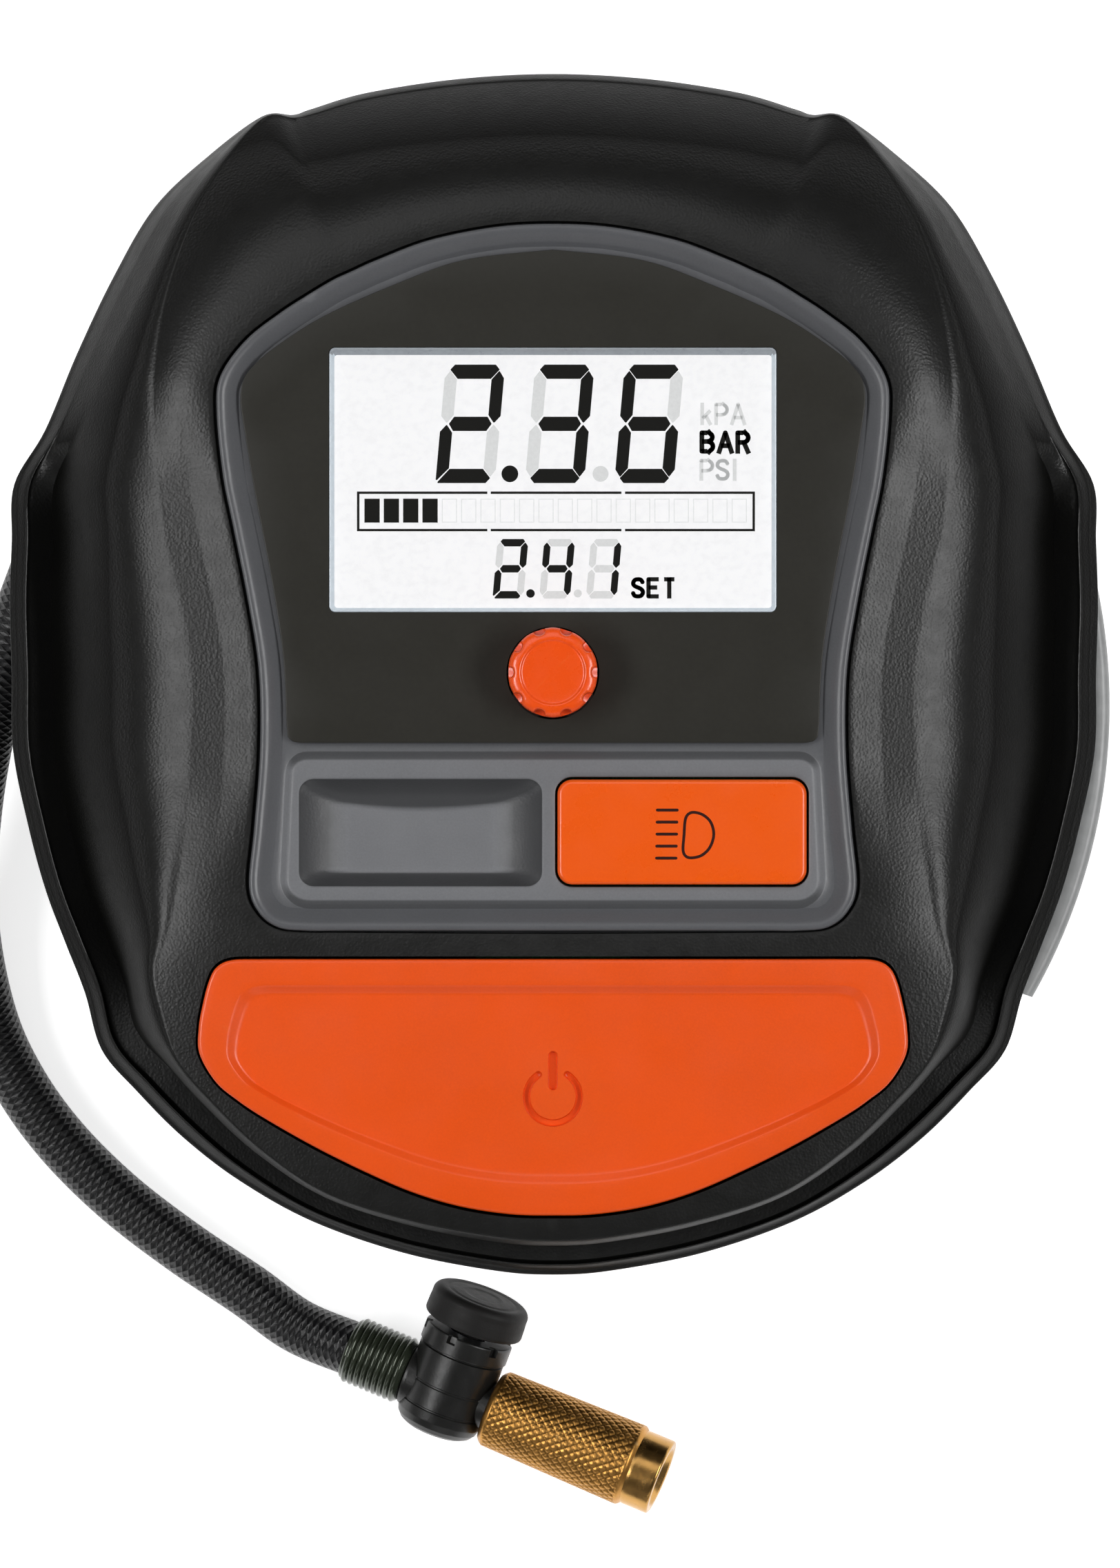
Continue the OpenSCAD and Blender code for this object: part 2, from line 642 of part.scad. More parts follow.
start_skirt = 2;
start_bottom = plunger_top - 1.2;
power_y = -65.7;
power_r = 4.1;
power_line = 1;

power_gap = 35;
power_bar = [1.4, 5.9];
power_depth = 0.5;
// The power mark's cutter, lying along the crowned field
module power_mark() {
    from_crown = pcb_y[0] - 3 - power_y;
    surface = crown_top - crown_r + sqrt(pow(crown_r, 2) - pow(from_crown, 2)) - start_field_depth;
    translate([0, power_y, surface]) rotate([asin(from_crown / crown_r), 0, 0])
        translate([0, 0, -power_depth]) {
            rotate([0, 0, 90 + power_gap]) rotate_extrude(angle = 360 - 2 * power_gap)
                translate([power_r - power_line / 2, 0]) square([power_line, 4]);
            translate([-power_bar[0] / 2, 1.1, 0]) cube([power_bar[0], power_bar[1], 4]);
        }
}

module start_button() {
    color("#d8430f") difference() {
        intersection() {
            translate([0, 0, start_bottom]) linear_extrude(12) polygon(start_edge);
            below_crown(0);
        }
        intersection() {
            translate([0, 0, start_bottom - 1]) linear_extrude(12) polygon(start_inside(start_skirt, start_skirt, start_skirt));
            below_crown(2.4);
            translate([-70, -100, 0]) cube([140, 100, crown_top + 1]);
        }
        difference() {
            translate([0, 0, crown_top - 8]) linear_extrude(12) polygon(start_inside(5.2, 4.8, 5.8));
            below_crown(start_field_depth);
        }
        power_mark();
    }
    color("#d8430f")
        translate([0, start_switch_y, plunger_top]) cylinder(d = 7, h = crown_top - plunger_top - 3.2);
}

module plunger_at(p) {
    translate([p[0], p[1], pcb_top + switch_h - 0.3]) cylinder(d = plunger_d, h = 1.8);
}
module switch_at(p) {
    translate([p[0], p[1], pcb_top]) difference() {
        translate([-switch_w / 2, -switch_w / 2, 0]) cube([switch_w, switch_w, switch_h]);
        translate([0, 0, switch_h - 0.3 - button_travel - 0.3])
            cylinder(d = plunger_d + 0.3, h = 5);
    }
}
module start_plunger() {
    color("#e8e2d8") plunger_at([0, start_switch_y]);
}
module start_switch() {
    color("#2a2a2c") switch_at([0, start_switch_y]);
}

light_rise = 0.7;
module light_button() {
    top = face_z + plateau_t + light_rise;
    color("#ee5a05") translate([light_at[0], light_at[1], 0]) union() {
        difference() {
            translate([0, 0, plunger_top + 0.4]) linear_extrude(top - plunger_top - 0.4)
                round_rect(light_w, light_l, control_corner_r);
            translate([0, 0, plunger_top - 1]) linear_extrude(top - plunger_top - 1)
                round_rect(light_w - 4, light_l - 4, 1.4);
        }
        translate([0, 0, plunger_top]) cylinder(d = 6, h = top - plunger_top - 1);
    }
}
module light_plunger() {
    color("#e8e2d8") plunger_at(light_at);
}
module light_switch() {
    color("#2a2a2c") switch_at(light_at);
}

// ---- Encoder and knob ----
encoder_h = 3.4;
shaft_d = 6;
shaft_clear = 0.05;
slider_d = 8;
bushing_h = 4.4;
bushing_top = pcb_top + encoder_h + bushing_h;
knob_bottom = face_z - 2;
shaft_foot = pcb_top + 2.6;
flat_z = bushing_top + 0.6;
knob_top = cover_top + knob_rise;

module encoder_body() {
    color("#9da0a2") translate([0, knob_y, pcb_top]) difference() {
        union() {
            translate([-6.2, -6.6, 0]) cube([12.4, 13.2, encoder_h]);
            cylinder(d = shaft_d + 1.6, h = encoder_h + bushing_h);
        }
        translate([0, 0, 0.8]) cylinder(d = slider_d + 1, h = 1.9);
        translate([0, 0, 1]) cylinder(d = shaft_d + 2 * shaft_clear, h = 12);
    }
}
module encoder_slider() {
    color("#c9a24a") translate([0, knob_y, pcb_top + 1.6]) cylinder(d = slider_d, h = 0.9);
}
module encoder_shaft() {
    color("#c8cacc") translate([0, knob_y, 0]) difference() {
        translate([0, 0, shaft_foot]) cylinder(d = shaft_d, h = knob_top - 2 - shaft_foot);
        translate([-4, shaft_d / 2 - 1.5, flat_z]) cube([8, 4, 20]);
    }
}
notch_r = 0.9;
module target_knob() {
    color("#e8500c") translate([0, knob_y, 0]) difference() {
        union() {
            translate([0, 0, knob_bottom]) cylinder(d = knob_d, h = knob_top - 0.7 - knob_bottom);
            translate([0, 0, knob_top - 0.7 - eps]) cylinder(d1 = knob_d, d2 = knob_d - 1.4, h = 0.7 + eps);
        }
        translate([0, 0, knob_bottom - 1])
            cylinder(d = shaft_d + 2.6, h = bushing_top + knob_travel + 1.4 - knob_bottom);
        difference() {
            translate([0, 0, knob_bottom]) cylinder(d = shaft_d, h = knob_top - 2 - knob_bottom);
            translate([-4, shaft_d / 2 - 1.5, flat_z]) cube([8, 4, 20]);
        }
        for (i = [0 : knob_notches - 1]) rotate([0, 0, 360 * i / knob_notches])
            translate([knob_d / 2 + 0.2, 0, knob_bottom - 1]) cylinder(r = notch_r, h = 20, $fn = 24);
    }
}

// ---- The hose's outlet from the drum ----
hose_loop_r = 75;
hose_groove_z = groove_floor + hose_d / 2 + 0.5;
gland_z = 25;
gland_l = 12;
block_from = 174;
block_to = 190;
block_depth = 11.5;
nipple_l = 8;

// ---- Compressor ----
gear_teeth = 60;
pinion_teeth = 12;
backlash = 0.16;
crank_z = 38;
crank_x = 11;
gear_centres = gear_module * (gear_teeth + pinion_teeth) / 2;
motor_y = -gear_centres;
plate_x = -10;
plate_t = 6;
gear_x = plate_x + plate_t + 1;
disc_x = gear_x + gear_t;
disc_t = 3.8;
pin_l = 1.2;
pin_gap = 0.4;
rod_t = 6;
rod_x = crank_x - rod_t / 2;
rod_l = 31;
running = 0.05;
bearing_d = 16;
bearing_w = 5;

// A straight-sided tooth form with the root below the pitch circle
module gear_outline(teeth) {
    pitch_r = gear_module * teeth / 2;
    root_r = pitch_r - 1.25 * gear_module;
    tip_r = pitch_r + gear_module;
    half_pitch = (PI * gear_module / 2 - backlash) / 2;
    a_pitch = half_pitch / pitch_r * 180 / PI;
    a_root = a_pitch * 1.5;
    a_tip = a_pitch * 0.45;
    polygon([
        for (i = [0 : teeth - 1]) let (a = 360 * i / teeth) each [
            root_r * [cos(a - a_root), sin(a - a_root)], pitch_r * [cos(a - a_pitch), sin(a - a_pitch)],
            tip_r * [cos(a - a_tip), sin(a - a_tip)], tip_r * [cos(a + a_tip), sin(a + a_tip)],
            pitch_r * [cos(a + a_pitch), sin(a + a_pitch)], root_r * [cos(a + a_root), sin(a + a_root)]
        ]
    ]);
}

module crank_gear() {
    color("#e6e2d4") along_x(gear_x, 0, crank_z) difference() {
        rotate([0, 0, 180 / gear_teeth]) linear_extrude(gear_t) gear_outline(gear_teeth);
        translate([0, 0, -1]) cylinder(d = crank_shaft_d, h = gear_t + 2);
        for (i = [0 : 5]) rotate([0, 0, 60 * i + 30]) translate([11.5, 0, -1]) cylinder(d = 5, h = gear_t + 2);
    }
}
module crank_shaft() {
    color("#b4b6b8") along_x(plate_x + 0.6, 0, crank_z)
        cylinder(d = crank_shaft_d, h = disc_x + disc_t - plate_x - 1.2);
}
module crank_disc() {
    color("#7c7e80") along_x(disc_x, 0, crank_z) union() {
        difference() {
            union() {
                cylinder(r = 11, h = disc_t);
                intersection() {
                    cylinder(r = 15, h = disc_t);
                    translate([-15, -13, 0]) cube([12, 26, disc_t]);
                }
            }
            translate([0, 0, -1]) cylinder(d = crank_shaft_d, h = disc_t + 0.4);
        }
        translate([stroke / 2, 0, disc_t - eps]) cylinder(d = 6, h = rod_x - pin_gap - disc_x - disc_t + eps);
    }
}
module crank_bearing() {
    color("#c0c2c4") along_x(plate_x + 0.7, 0, crank_z)
        ring(bearing_d, crank_shaft_d + 2 * running, bearing_w);
}

module motor_can() {
    r = motor_d / 2;
    color("#9fa1a3") along_x(plate_x - motor_l, motor_y, crank_z) difference() {
        cylinder(r = r, h = motor_l);
        translate([0, 0, -1]) cylinder(r = r - 1.5, h = motor_l - 0.5);
        translate([0, 0, -1]) cylinder(d = motor_shaft_d + 2 * running, h = motor_l + 2);
    }
}
module motor_end_cap() {
    color("#232325") along_x(plate_x - motor_l - 2, motor_y, crank_z) difference() {
        union() {
            cylinder(d = motor_d, h = 2);
            cylinder(d = motor_d - 3.4, h = 3.5);
            for (s = [-1, 1]) translate([-1.5, s * 10 - 0.4, -2.4]) cube([3, 0.8, 3]);
        }
        translate([0, 0, 0.8]) cylinder(d = motor_shaft_d + 2 * running, h = 6);
    }
}
module motor_magnets() {
    r = motor_d / 2 - 1.5;
    color("#4c4c50") along_x(plate_x - motor_l + 6, motor_y, crank_z)
        for (s = [0, 180]) rotate([0, 0, s - 60]) rotate_extrude(angle = 120) translate([r - 3, 0]) square([3, 24]);
}
module motor_shaft() {
    color("#b4b6b8") along_x(plate_x - motor_l - 1, motor_y, crank_z)
        cylinder(d = motor_shaft_d, h = gear_x + gear_t + 1 - plate_x + motor_l);
}
module motor_armature() {
    r = motor_d / 2 - 5;
    color("#8c4a24") along_x(plate_x - motor_l + 8, motor_y, crank_z) difference() {
        union() {
            translate([0, 0, 2]) cylinder(r = r, h = 18);
            cylinder(r = r - 2.5, h = 22);
            translate([0, 0, -3]) cylinder(r = 4.5, h = 4);
        }
        for (i = [0 : 4]) rotate([0, 0, 72 * i]) translate([r - 2, 0, 1]) cylinder(d = 2, h = 24, $fn = 16);
        translate([0, 0, -4]) cylinder(d = motor_shaft_d, h = 30);
    }
}
module motor_pinion() {
    color("#c8a45a") along_x(gear_x - 0.3, motor_y, crank_z) difference() {
        linear_extrude(gear_t + 0.6) gear_outline(pinion_teeth);
        translate([0, 0, -1]) cylinder(d = motor_shaft_d, h = gear_t + 3);
    }
}

cylinder_y = [21, 41];
bush_d = 10;
bush_z = 10;
bush_h = 4;
frame_z = bush_z + bush_h;
frame_t = 3;
bush_places = [[3, -34], [26, -34], [3, 29.8], [26, 29.8]];
frame_screw_d = 4;
frame_screw_bite = 4;
module gearbox_frame() {
    color("#a9acae") difference() {
        union() {
            translate([plate_x, -40, frame_z]) cube([42, 75, frame_t]);
            translate([plate_x, -40, frame_z]) cube([plate_t, 62, 24]);
            along_x(plate_x, 0, crank_z) cylinder(r = 19, h = plate_t);
            along_x(plate_x, motor_y, crank_z) cylinder(r = 16, h = plate_t);
            along_y(crank_x, cylinder_y[0] - 0.5, crank_z) cylinder(d = bore_d + 11, h = 4);
            translate([plate_x, cylinder_y[0] - 0.5, frame_z]) cube([plate_t, 4, 30]);
            translate([crank_x - 10, cylinder_y[0] - 0.5, frame_z]) cube([20, 4, 14]);
        }
        along_x(plate_x + 0.7, 0, crank_z) cylinder(d = bearing_d, h = plate_t);
        along_x(plate_x - 1, 0, crank_z) cylinder(d = 9, h = plate_t + 2);
        along_x(plate_x - 1, motor_y, crank_z) cylinder(d = 10, h = plate_t + 2);
        along_y(crank_x, cylinder_y[0] - 2, crank_z) cylinder(d = bore_d + 4, h = 8);
        for (p = bush_places) translate([p[0], p[1], frame_z - 1]) cylinder(d = frame_screw_d + 0.4, h = frame_t + 2);
    }
}
module frame_bushes() {
    color("#151515") for (p = bush_places) translate([p[0], p[1], bush_z])
        ring(bush_d, frame_screw_d + 0.4, bush_h);
}
module frame_screws() {
    color("#b8babc") for (p = bush_places) translate([p[0], p[1], bush_z - frame_screw_bite]) {
        cylinder(d = frame_screw_d, h = frame_screw_bite + bush_h + frame_t + 0.5);
        translate([0, 0, frame_screw_bite + bush_h + frame_t]) cylinder(d = 7.4, h = 2.2);
    }
}

rod_pin_y = stroke / 2;
piston_y = rod_pin_y + rod_l - 3;
module piston_rod() {
    color("#d9dbdc") difference() {
        union() {
            along_x(rod_x, rod_pin_y, crank_z) cylinder(d = 16, h = rod_t);
            translate([rod_x + 0.5, rod_pin_y, crank_z - 3.5]) cube([rod_t - 1, rod_l - 2.5, 7]);
            along_y(crank_x, piston_y, crank_z) cylinder(d = bore_d - 2, h = 3);
        }
        along_x(rod_x - 1, rod_pin_y, crank_z) cylinder(d = 12, h = rod_t + 2);
    }
}
module rod_bearing() {
    color("#c0c2c4") along_x(rod_x + 0.5, rod_pin_y, crank_z) ring(12, 6.2, rod_t - 1);
}
module cup_seal() {
    color("#303034") along_y(crank_x, piston_y + 3, crank_z) difference() {
        cylinder(d = bore_d - 2 * running, h = 2.8);
        translate([0, 0, 1]) cylinder(d = bore_d - 3, h = 3);
    }
}
module cup_retainer() {
    color("#c8cacc") along_y(crank_x, piston_y + 4, crank_z) {
        cylinder(d = bore_d - 5, h = 1.2);
        cylinder(d = 6, h = 2);
    }
}
module cylinder_body_fins() {
    for (y = [cylinder_y[0] + 5 : 3 : cylinder_y[1] - 2])
        along_y(crank_x, y, crank_z) cylinder(d = fin_d, h = 1.4);
}
module cylinder_block() {
    color("#b2b5b7") difference() {
        union() {
            along_y(crank_x, cylinder_y[0], crank_z) cylinder(d = bore_d + 4, h = cylinder_y[1] - cylinder_y[0]);
            cylinder_body_fins();
        }
        along_y(crank_x, cylinder_y[0] - 1, crank_z) cylinder(d = bore_d, h = 30);
    }
}
head_gap = 0.8;
head_y = cylinder_y[1] + head_gap;
head_l = 12;
head_flange_t = 5;
head_boss_d = fin_d - 12;
head_screw_at = 10.6;
fitting_y = head_y + 8.2;
module cylinder_head() {
    color("#a9acae") difference() {
        union() {
            along_y(crank_x, head_y, crank_z) cylinder(d = fin_d, h = head_flange_t);
            along_y(crank_x, head_y, crank_z) cylinder(d = head_boss_d, h = head_l);
        }
        along_y(crank_x, head_y + 3, crank_z) cylinder(d = head_boss_d - 6, h = head_l - 5);
        along_y(crank_x, head_y - 1, crank_z) cylinder(d = 3, h = 6);
        along_x(crank_x - fin_d, fitting_y, crank_z) cylinder(d = 4, h = fin_d);
        for (x = [-1, 1]) for (z = [-1, 1])
            along_y(crank_x + x * head_screw_at, head_y - 1, crank_z + z * head_screw_at) cylinder(d = 3, h = 8);
    }
}
module head_gasket() {
    color("#2a2a2c") along_y(crank_x, cylinder_y[1], crank_z) ring(bore_d + 3, bore_d, head_gap);
}
module head_screws() {
    color("#8a8c8e") for (x = [-1, 1]) for (z = [-1, 1])
        along_y(crank_x + x * head_screw_at, head_y, crank_z + z * head_screw_at) {
            cylinder(d = 3, h = head_flange_t + 0.1);
            translate([0, 0, head_flange_t]) cylinder(d = 5.2, h = 2.4);
        }
}
module reed_valve() {
    color("#c8cacc") translate([crank_x - 2.5, head_y + 3, crank_z - 6]) cube([5, 0.3, 12]);
}

tube_d = 7;
air_bore_d = 3;
fitting_x = crank_x - head_boss_d / 2;
fitting_l = 16;
tee_x = fitting_x - 6.8;
tee_h = 6;
sensor_tube_d = 4;
module outlet_fitting() {
    color("#a9782e") difference() {
        union() {
            along_x(fitting_x - fitting_l, fitting_y, crank_z) cylinder(d = 4, h = fitting_l + 2);
            along_x(fitting_x - 3.6, fitting_y, crank_z) cylinder(d = 6, h = 3.4, $fn = 6);
            along_x(fitting_x - fitting_l, fitting_y, crank_z) cylinder(d = tube_d, h = 6);
            translate([tee_x, fitting_y, crank_z]) cylinder(d = sensor_tube_d, h = tee_h);
        }
        along_x(fitting_x - fitting_l - 1, fitting_y, crank_z) cylinder(d = air_bore_d - 0.6, h = fitting_l + 6);
        translate([tee_x, fitting_y, crank_z]) cylinder(d = 1.6, h = tee_h + 1);
    }
}

// The inner hose from the cylinder head to the drum
delivery_route = [
    [fitting_x - fitting_l, fitting_y, crank_z], [fitting_x - fitting_l - 3, fitting_y, crank_z],
    [-27, 47, 37.5], [-34, 41, 36], [-39, 32, 33], [-41, 22, 29.5], [-42, 13, 27], [-45.5, 4, 25.5],
    [nipple_l - flange_r + 6, 0, gland_z], [nipple_l - flange_r + 3, 0, gland_z], [nipple_l - flange_r, 0, gland_z]
];
module delivery_tube() {
    last = len(delivery_route) - 1;
    bent = smooth_path([for (i = [1 : last - 1]) delivery_route[i]], 2);
    color("#26282a") swept_tube(concat([delivery_route[0]], bent, [delivery_route[last]]), tube_d, 8);
}

sensor_at = [-24, 30];
sensor_h = 9;
sensor_route = [
    [tee_x, fitting_y, crank_z + tee_h], [tee_x, fitting_y, crank_z + tee_h + 2], [-9, 47.5, 49], [-14, 41, 51],
    [-20, 34, 50.5], [-23.4, 30.6, 51.4], [sensor_at[0], sensor_at[1], 53.4],
    [sensor_at[0], sensor_at[1], pcb_top - pcb_t - sensor_h]
];
sensor_route_side = unit([sensor_at[1] - fitting_y, tee_x - sensor_at[0], 0]);
module sensor_tube() {
    color("#d0d0cc") swept_tube(sensor_route, sensor_tube_d, 8, sensor_route_side);
}
module pressure_sensor() {
    color("#303236") translate([sensor_at[0], sensor_at[1], pcb_top - pcb_t]) union() {
        translate([-5, -5, -5]) cube([10, 10, 5]);
        translate([0, 0, -sensor_h]) cylinder(d = 3.2, h = 4.1);
    }
}

// ---- Hose ----

// The children's Z axis points out of the drum's block, along the hose
module at_gland() {
    translate([hose_loop_r * cos(block_to), hose_loop_r * sin(block_to), gland_z])
        rotate([90, 0, block_to - 180]) children();
}
module hose_gland() {
    color("#141414") at_gland() difference() {
        union() {
            cylinder(d = 11.4, h = 3);
            translate([0, 0, 3 - eps]) cylinder(d1 = 10.6, d2 = hose_d + 0.4, h = gland_l - 3 + eps);
        }
        translate([0, 0, -1]) cylinder(d = air_bore_d, h = gland_l + 2);
    }
}

// The hose's route: out of the gland, once round the drum, down to the floor and to the chuck
gland_dir = [sin(block_to - 180), -cos(block_to - 180), 0];
gland_end = [hose_loop_r * cos(block_to), hose_loop_r * sin(block_to), gland_z] + gland_l * gland_dir;
loop_from = 224;
loop_to = 456;
loop_step = 14.5;
loop_route = [
    for (a = [loop_from : loop_step : loop_to]) [hose_loop_r * cos(a), hose_loop_r * sin(a), hose_groove_z]
];
free_route = [
    [-28, 72, 23.8], [-44, 67.5, 23.8], [-58, 58.5, 23.8], [-69.5, 46, 23.8], [-77.5, 32, 23.8],
    [-83, 17.5, 23.4], [-88.3, 3, 21.6], [-92.3, -12, 18], [-94.6, -27, 13.4], [-94.8, -41.5, 9.2],
    [-92.2, -55.5, 6.3], [-87.6, -66, 5.1], [-80.8, -75.6, 4.8], [-71.6, -84.8, 4.8], [-61, -93, 4.8],
    [-50, -100.4, 4.8]
];
chuck_at = [-16.35, -116.5, 8.9];
chuck_turn = -21.9;
chuck_tilt = 9;
chuck_roll = 10;
chuck_dir = [cos(chuck_tilt) * cos(chuck_turn), cos(chuck_tilt) * sin(chuck_turn), sin(chuck_tilt)];
stem_x = -0.8;
hub_l = chuck_d / 2 - stem_x + 0.05;
sleeve_x = chuck_d / 2 + stem_x + 0.4;
hose_end = chuck_at - (hub_l + ferrule_l) * chuck_dir;
hose_route = concat(
    [gland_end, gland_end + hose_d * gland_dir], loop_route, free_route,
    [hose_end - 1.05 * hose_d * chuck_dir, hose_end]
);
module air_hose() {
    color("#222426") swept_tube(hose_route, hose_d, 10);
}
function total(v) = v * [for (x = v) 1];
smooth_hose = smooth_path(hose_route, 4);
echo(hose_length = total([for (i = [1 : len(smooth_hose) - 1]) norm(smooth_hose[i] - smooth_hose[i - 1])]));
// The least gap between two stretches of the hose that don't follow each other
far_apart = 16;
echo(hose_least_gap = min([
    for (i = [0 : len(smooth_hose) - 1 - far_apart]) for (k = [i + far_apart : len(smooth_hose) - 1])
        norm(smooth_hose[i] - smooth_hose[k])
]) - hose_d);

// ---- Chuck ----
// The children's X axis lies along the chuck's brass end, and Y towards its air release cap
module at_chuck() {
    translate(chuck_at) rotate([0, -chuck_tilt, chuck_turn]) rotate([chuck_roll, 0, 0]) children();
}
module lengthwise(x) {
    translate([x, 0, 0]) rotate([0, 90, 0]) children();
}
module crosswise(x, y) {
    translate([x, y, 0]) rotate([-90, 0, 0]) children();
}

rib_pitch = (ferrule_l - 1) / ferrule_ribs;
module hose_ferrule() {
    color("#2c2d26") at_chuck() lengthwise(-hub_l - ferrule_l) difference() {
        union() {
            cylinder(d = ferrule_d - 1, h = ferrule_l);
            for (i = [0 : ferrule_ribs - 1]) translate([0, 0, 0.5 + i * rib_pitch]) {
                cylinder(d1 = ferrule_d - 1, d2 = ferrule_d, h = rib_pitch / 2);
                translate([0, 0, rib_pitch / 2 - eps])
                    cylinder(d1 = ferrule_d, d2 = ferrule_d - 1, h = rib_pitch / 2 + eps);
            }
        }
        translate([0, 0, 1]) cylinder(d = air_bore_d, h = ferrule_l);
    }
}

collar_y = 7;
collar_l = 3.2;
cap_gap = bleed_travel + 0.3;
cap_y = collar_y + collar_l + cap_gap;
cap_l = 5.2;
stem_d = 5;
module chuck_body() {
    color("#1c1c1c") at_chuck() difference() {
        union() {
            crosswise(stem_x, -6.2) cylinder(d = chuck_d, h = collar_y + 6.2);
            crosswise(stem_x, -8) cylinder(d1 = chuck_d - 3.6, d2 = chuck_d, h = 1.8 + eps);
            crosswise(stem_x, collar_y - eps) cylinder(d = chuck_d + 0.4, h = collar_l);
            lengthwise(-hub_l) cylinder(d = ferrule_d - 0.8, h = hub_l);
            lengthwise(0) cylinder(d = spigot_d, h = sleeve_x + spigot_l);
        }
        crosswise(stem_x, collar_y + collar_l - 6) cylinder(d = stem_d + 2.4, h = 7);
        crosswise(stem_x, -1) cylinder(d = stem_d + 0.2, h = 12);
        for (a = [20 : 60 : 320]) crosswise(stem_x, collar_y + collar_l - 0.9)
            rotate([0, 0, a]) translate([chuck_d / 2 - 1.4, -0.6, 0]) cube([3, 1.2, 2]);
        lengthwise(-hub_l - 1) cylinder(d = air_bore_d, h = hub_l + sleeve_x + spigot_l + 2);
    }
}
spigot_d = 8;
spigot_l = 9;

module bleed_cap() {
    color("#262626") at_chuck() union() {
        crosswise(stem_x, cap_y) cylinder(d = bleed_cap_d, h = cap_l - 1.2);
        crosswise(stem_x, cap_y + cap_l - 1.2 - eps) cylinder(d1 = bleed_cap_d, d2 = bleed_cap_d - 3, h = 1.2 + eps);
        crosswise(stem_x, 0.6 + bleed_travel) cylinder(d = stem_d, h = cap_y - 0.6 - bleed_travel + eps);
    }
}

spring_wire = 0.7;
spring_turns = 4;
module bleed_spring() {
    r = stem_d / 2 + 0.65;
    low = collar_y + collar_l - 6 + spring_wire / 2 + 0.05;
    high = cap_y - spring_wire / 2 - 0.05;
    steps = 8 * spring_turns;
    color("#b8babc") at_chuck() crosswise(stem_x, 0) spring_coil(r, low, high, steps);
}
module spring_coil(r, low, high, steps) {
    sides = 6;
    centre = [
        for (i = [0 : steps]) let (a = 360 * spring_turns * i / steps)
            [r * cos(a), r * sin(a), mix(low, high, i / steps)]
    ];
    points = [
        for (i = [0 : steps]) for (k = [0 : sides - 1])
            let (a = 360 * spring_turns * i / steps, b = 360 * k / sides)
            centre[i] + spring_wire / 2 * (cos(b) * [cos(a), sin(a), 0] + sin(b) * [0, 0, 1])
    ];
    skin = [
        for (i = [0 : steps - 1]) for (k = [0 : sides - 1])
            let (a = i * sides + k, b = i * sides + (k + 1) % sides)
            each [[a, a + sides, b], [b, a + sides, b + sides]]
    ];
    ends = [
        for (k = [1 : sides - 2])
            each [[0, k, k + 1], [steps * sides, steps * sides + k + 1, steps * sides + k]]
    ];
    polyhedron(points = points, faces = concat(skin, ends), convexity = 8);
}

nose_x = sleeve_x + sleeve_l;
brass_end = nose_x + nose_l;
mouth_l = 1.2;
mouth_flare = 2.2;
seal_t = 1.6;
seal_d = 2 * valve_r + 1;
seal_face = brass_end - mouth_l - valve_depth;
module chuck_sleeve() {
    color("#a9782e") at_chuck() difference() {
        union() {
            lengthwise(sleeve_x) cylinder(d1 = sleeve_d, d2 = sleeve_d + 0.9, h = sleeve_l, $fn = 64);
            lengthwise(nose_x - eps) cylinder(d = nose_d, h = nose_l, $fn = 64);
        }
        lengthwise(sleeve_x - 1) cylinder(d = spigot_d + 2 * running, h = spigot_l + 1.5);
        lengthwise(sleeve_x) cylinder(d = 6, h = sleeve_l);
        lengthwise(seal_face - seal_t) cylinder(d = seal_d, h = seal_t);
        lengthwise(seal_face) cylinder(r = valve_r, h = valve_depth);
        lengthwise(brass_end - mouth_l - eps)
            cylinder(d1 = 2 * valve_r, d2 = 2 * valve_r + mouth_flare, h = mouth_l + 2 * eps);
    }
}
module valve_pin() {
    start = sleeve_x + spigot_l;
    color("#c8a45a") at_chuck() union() {
        lengthwise(start) cylinder(d = 5, h = 1.4);
        lengthwise(start) cylinder(d = 2, h = seal_face - 0.2 - start);
    }
}
module chuck_seal() {
    color("#161616") at_chuck() lengthwise(seal_face - seal_t) ring(seal_d, 3, seal_t);
}

base_shell();
hose_drum();
front_cover();
bezel_frame();
display_panel();
lcd_module();
backlight_plate();
main_pcb();
pcb_screws();
lamp_lens();
lamp_reflector();
lamp_board();
rubber_feet();
housing_screws();
cable_grommet();
start_button();
start_plunger();
start_switch();
light_button();
light_plunger();
light_switch();
encoder_body();
encoder_slider();
encoder_shaft();
target_knob();
gearbox_frame();
frame_bushes();
frame_screws();
motor_can();
motor_end_cap();
motor_magnets();
motor_shaft();
motor_armature();
motor_pinion();
crank_gear();
crank_shaft();
crank_bearing();
crank_disc();
piston_rod();
rod_bearing();
cup_seal();
cup_retainer();
cylinder_block();  // cylinder
cylinder_head();
head_gasket();
head_screws();
reed_valve();
outlet_fitting();
delivery_tube();
sensor_tube();
pressure_sensor();
hose_gland();
air_hose();
hose_ferrule();
chuck_body();
bleed_cap();
bleed_spring();
chuck_sleeve();
valve_pin();
chuck_seal();
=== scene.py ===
"""Tyre inflator with gauge: the looks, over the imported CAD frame. Shapes are in millimetres until mesh_data()."""
import json
import math
from math import cos, pi, radians, sin

import bmesh
import bpy
import numpy as np
from mathutils import Matrix, Vector
from mathutils.geometry import delaunay_2d_cdt


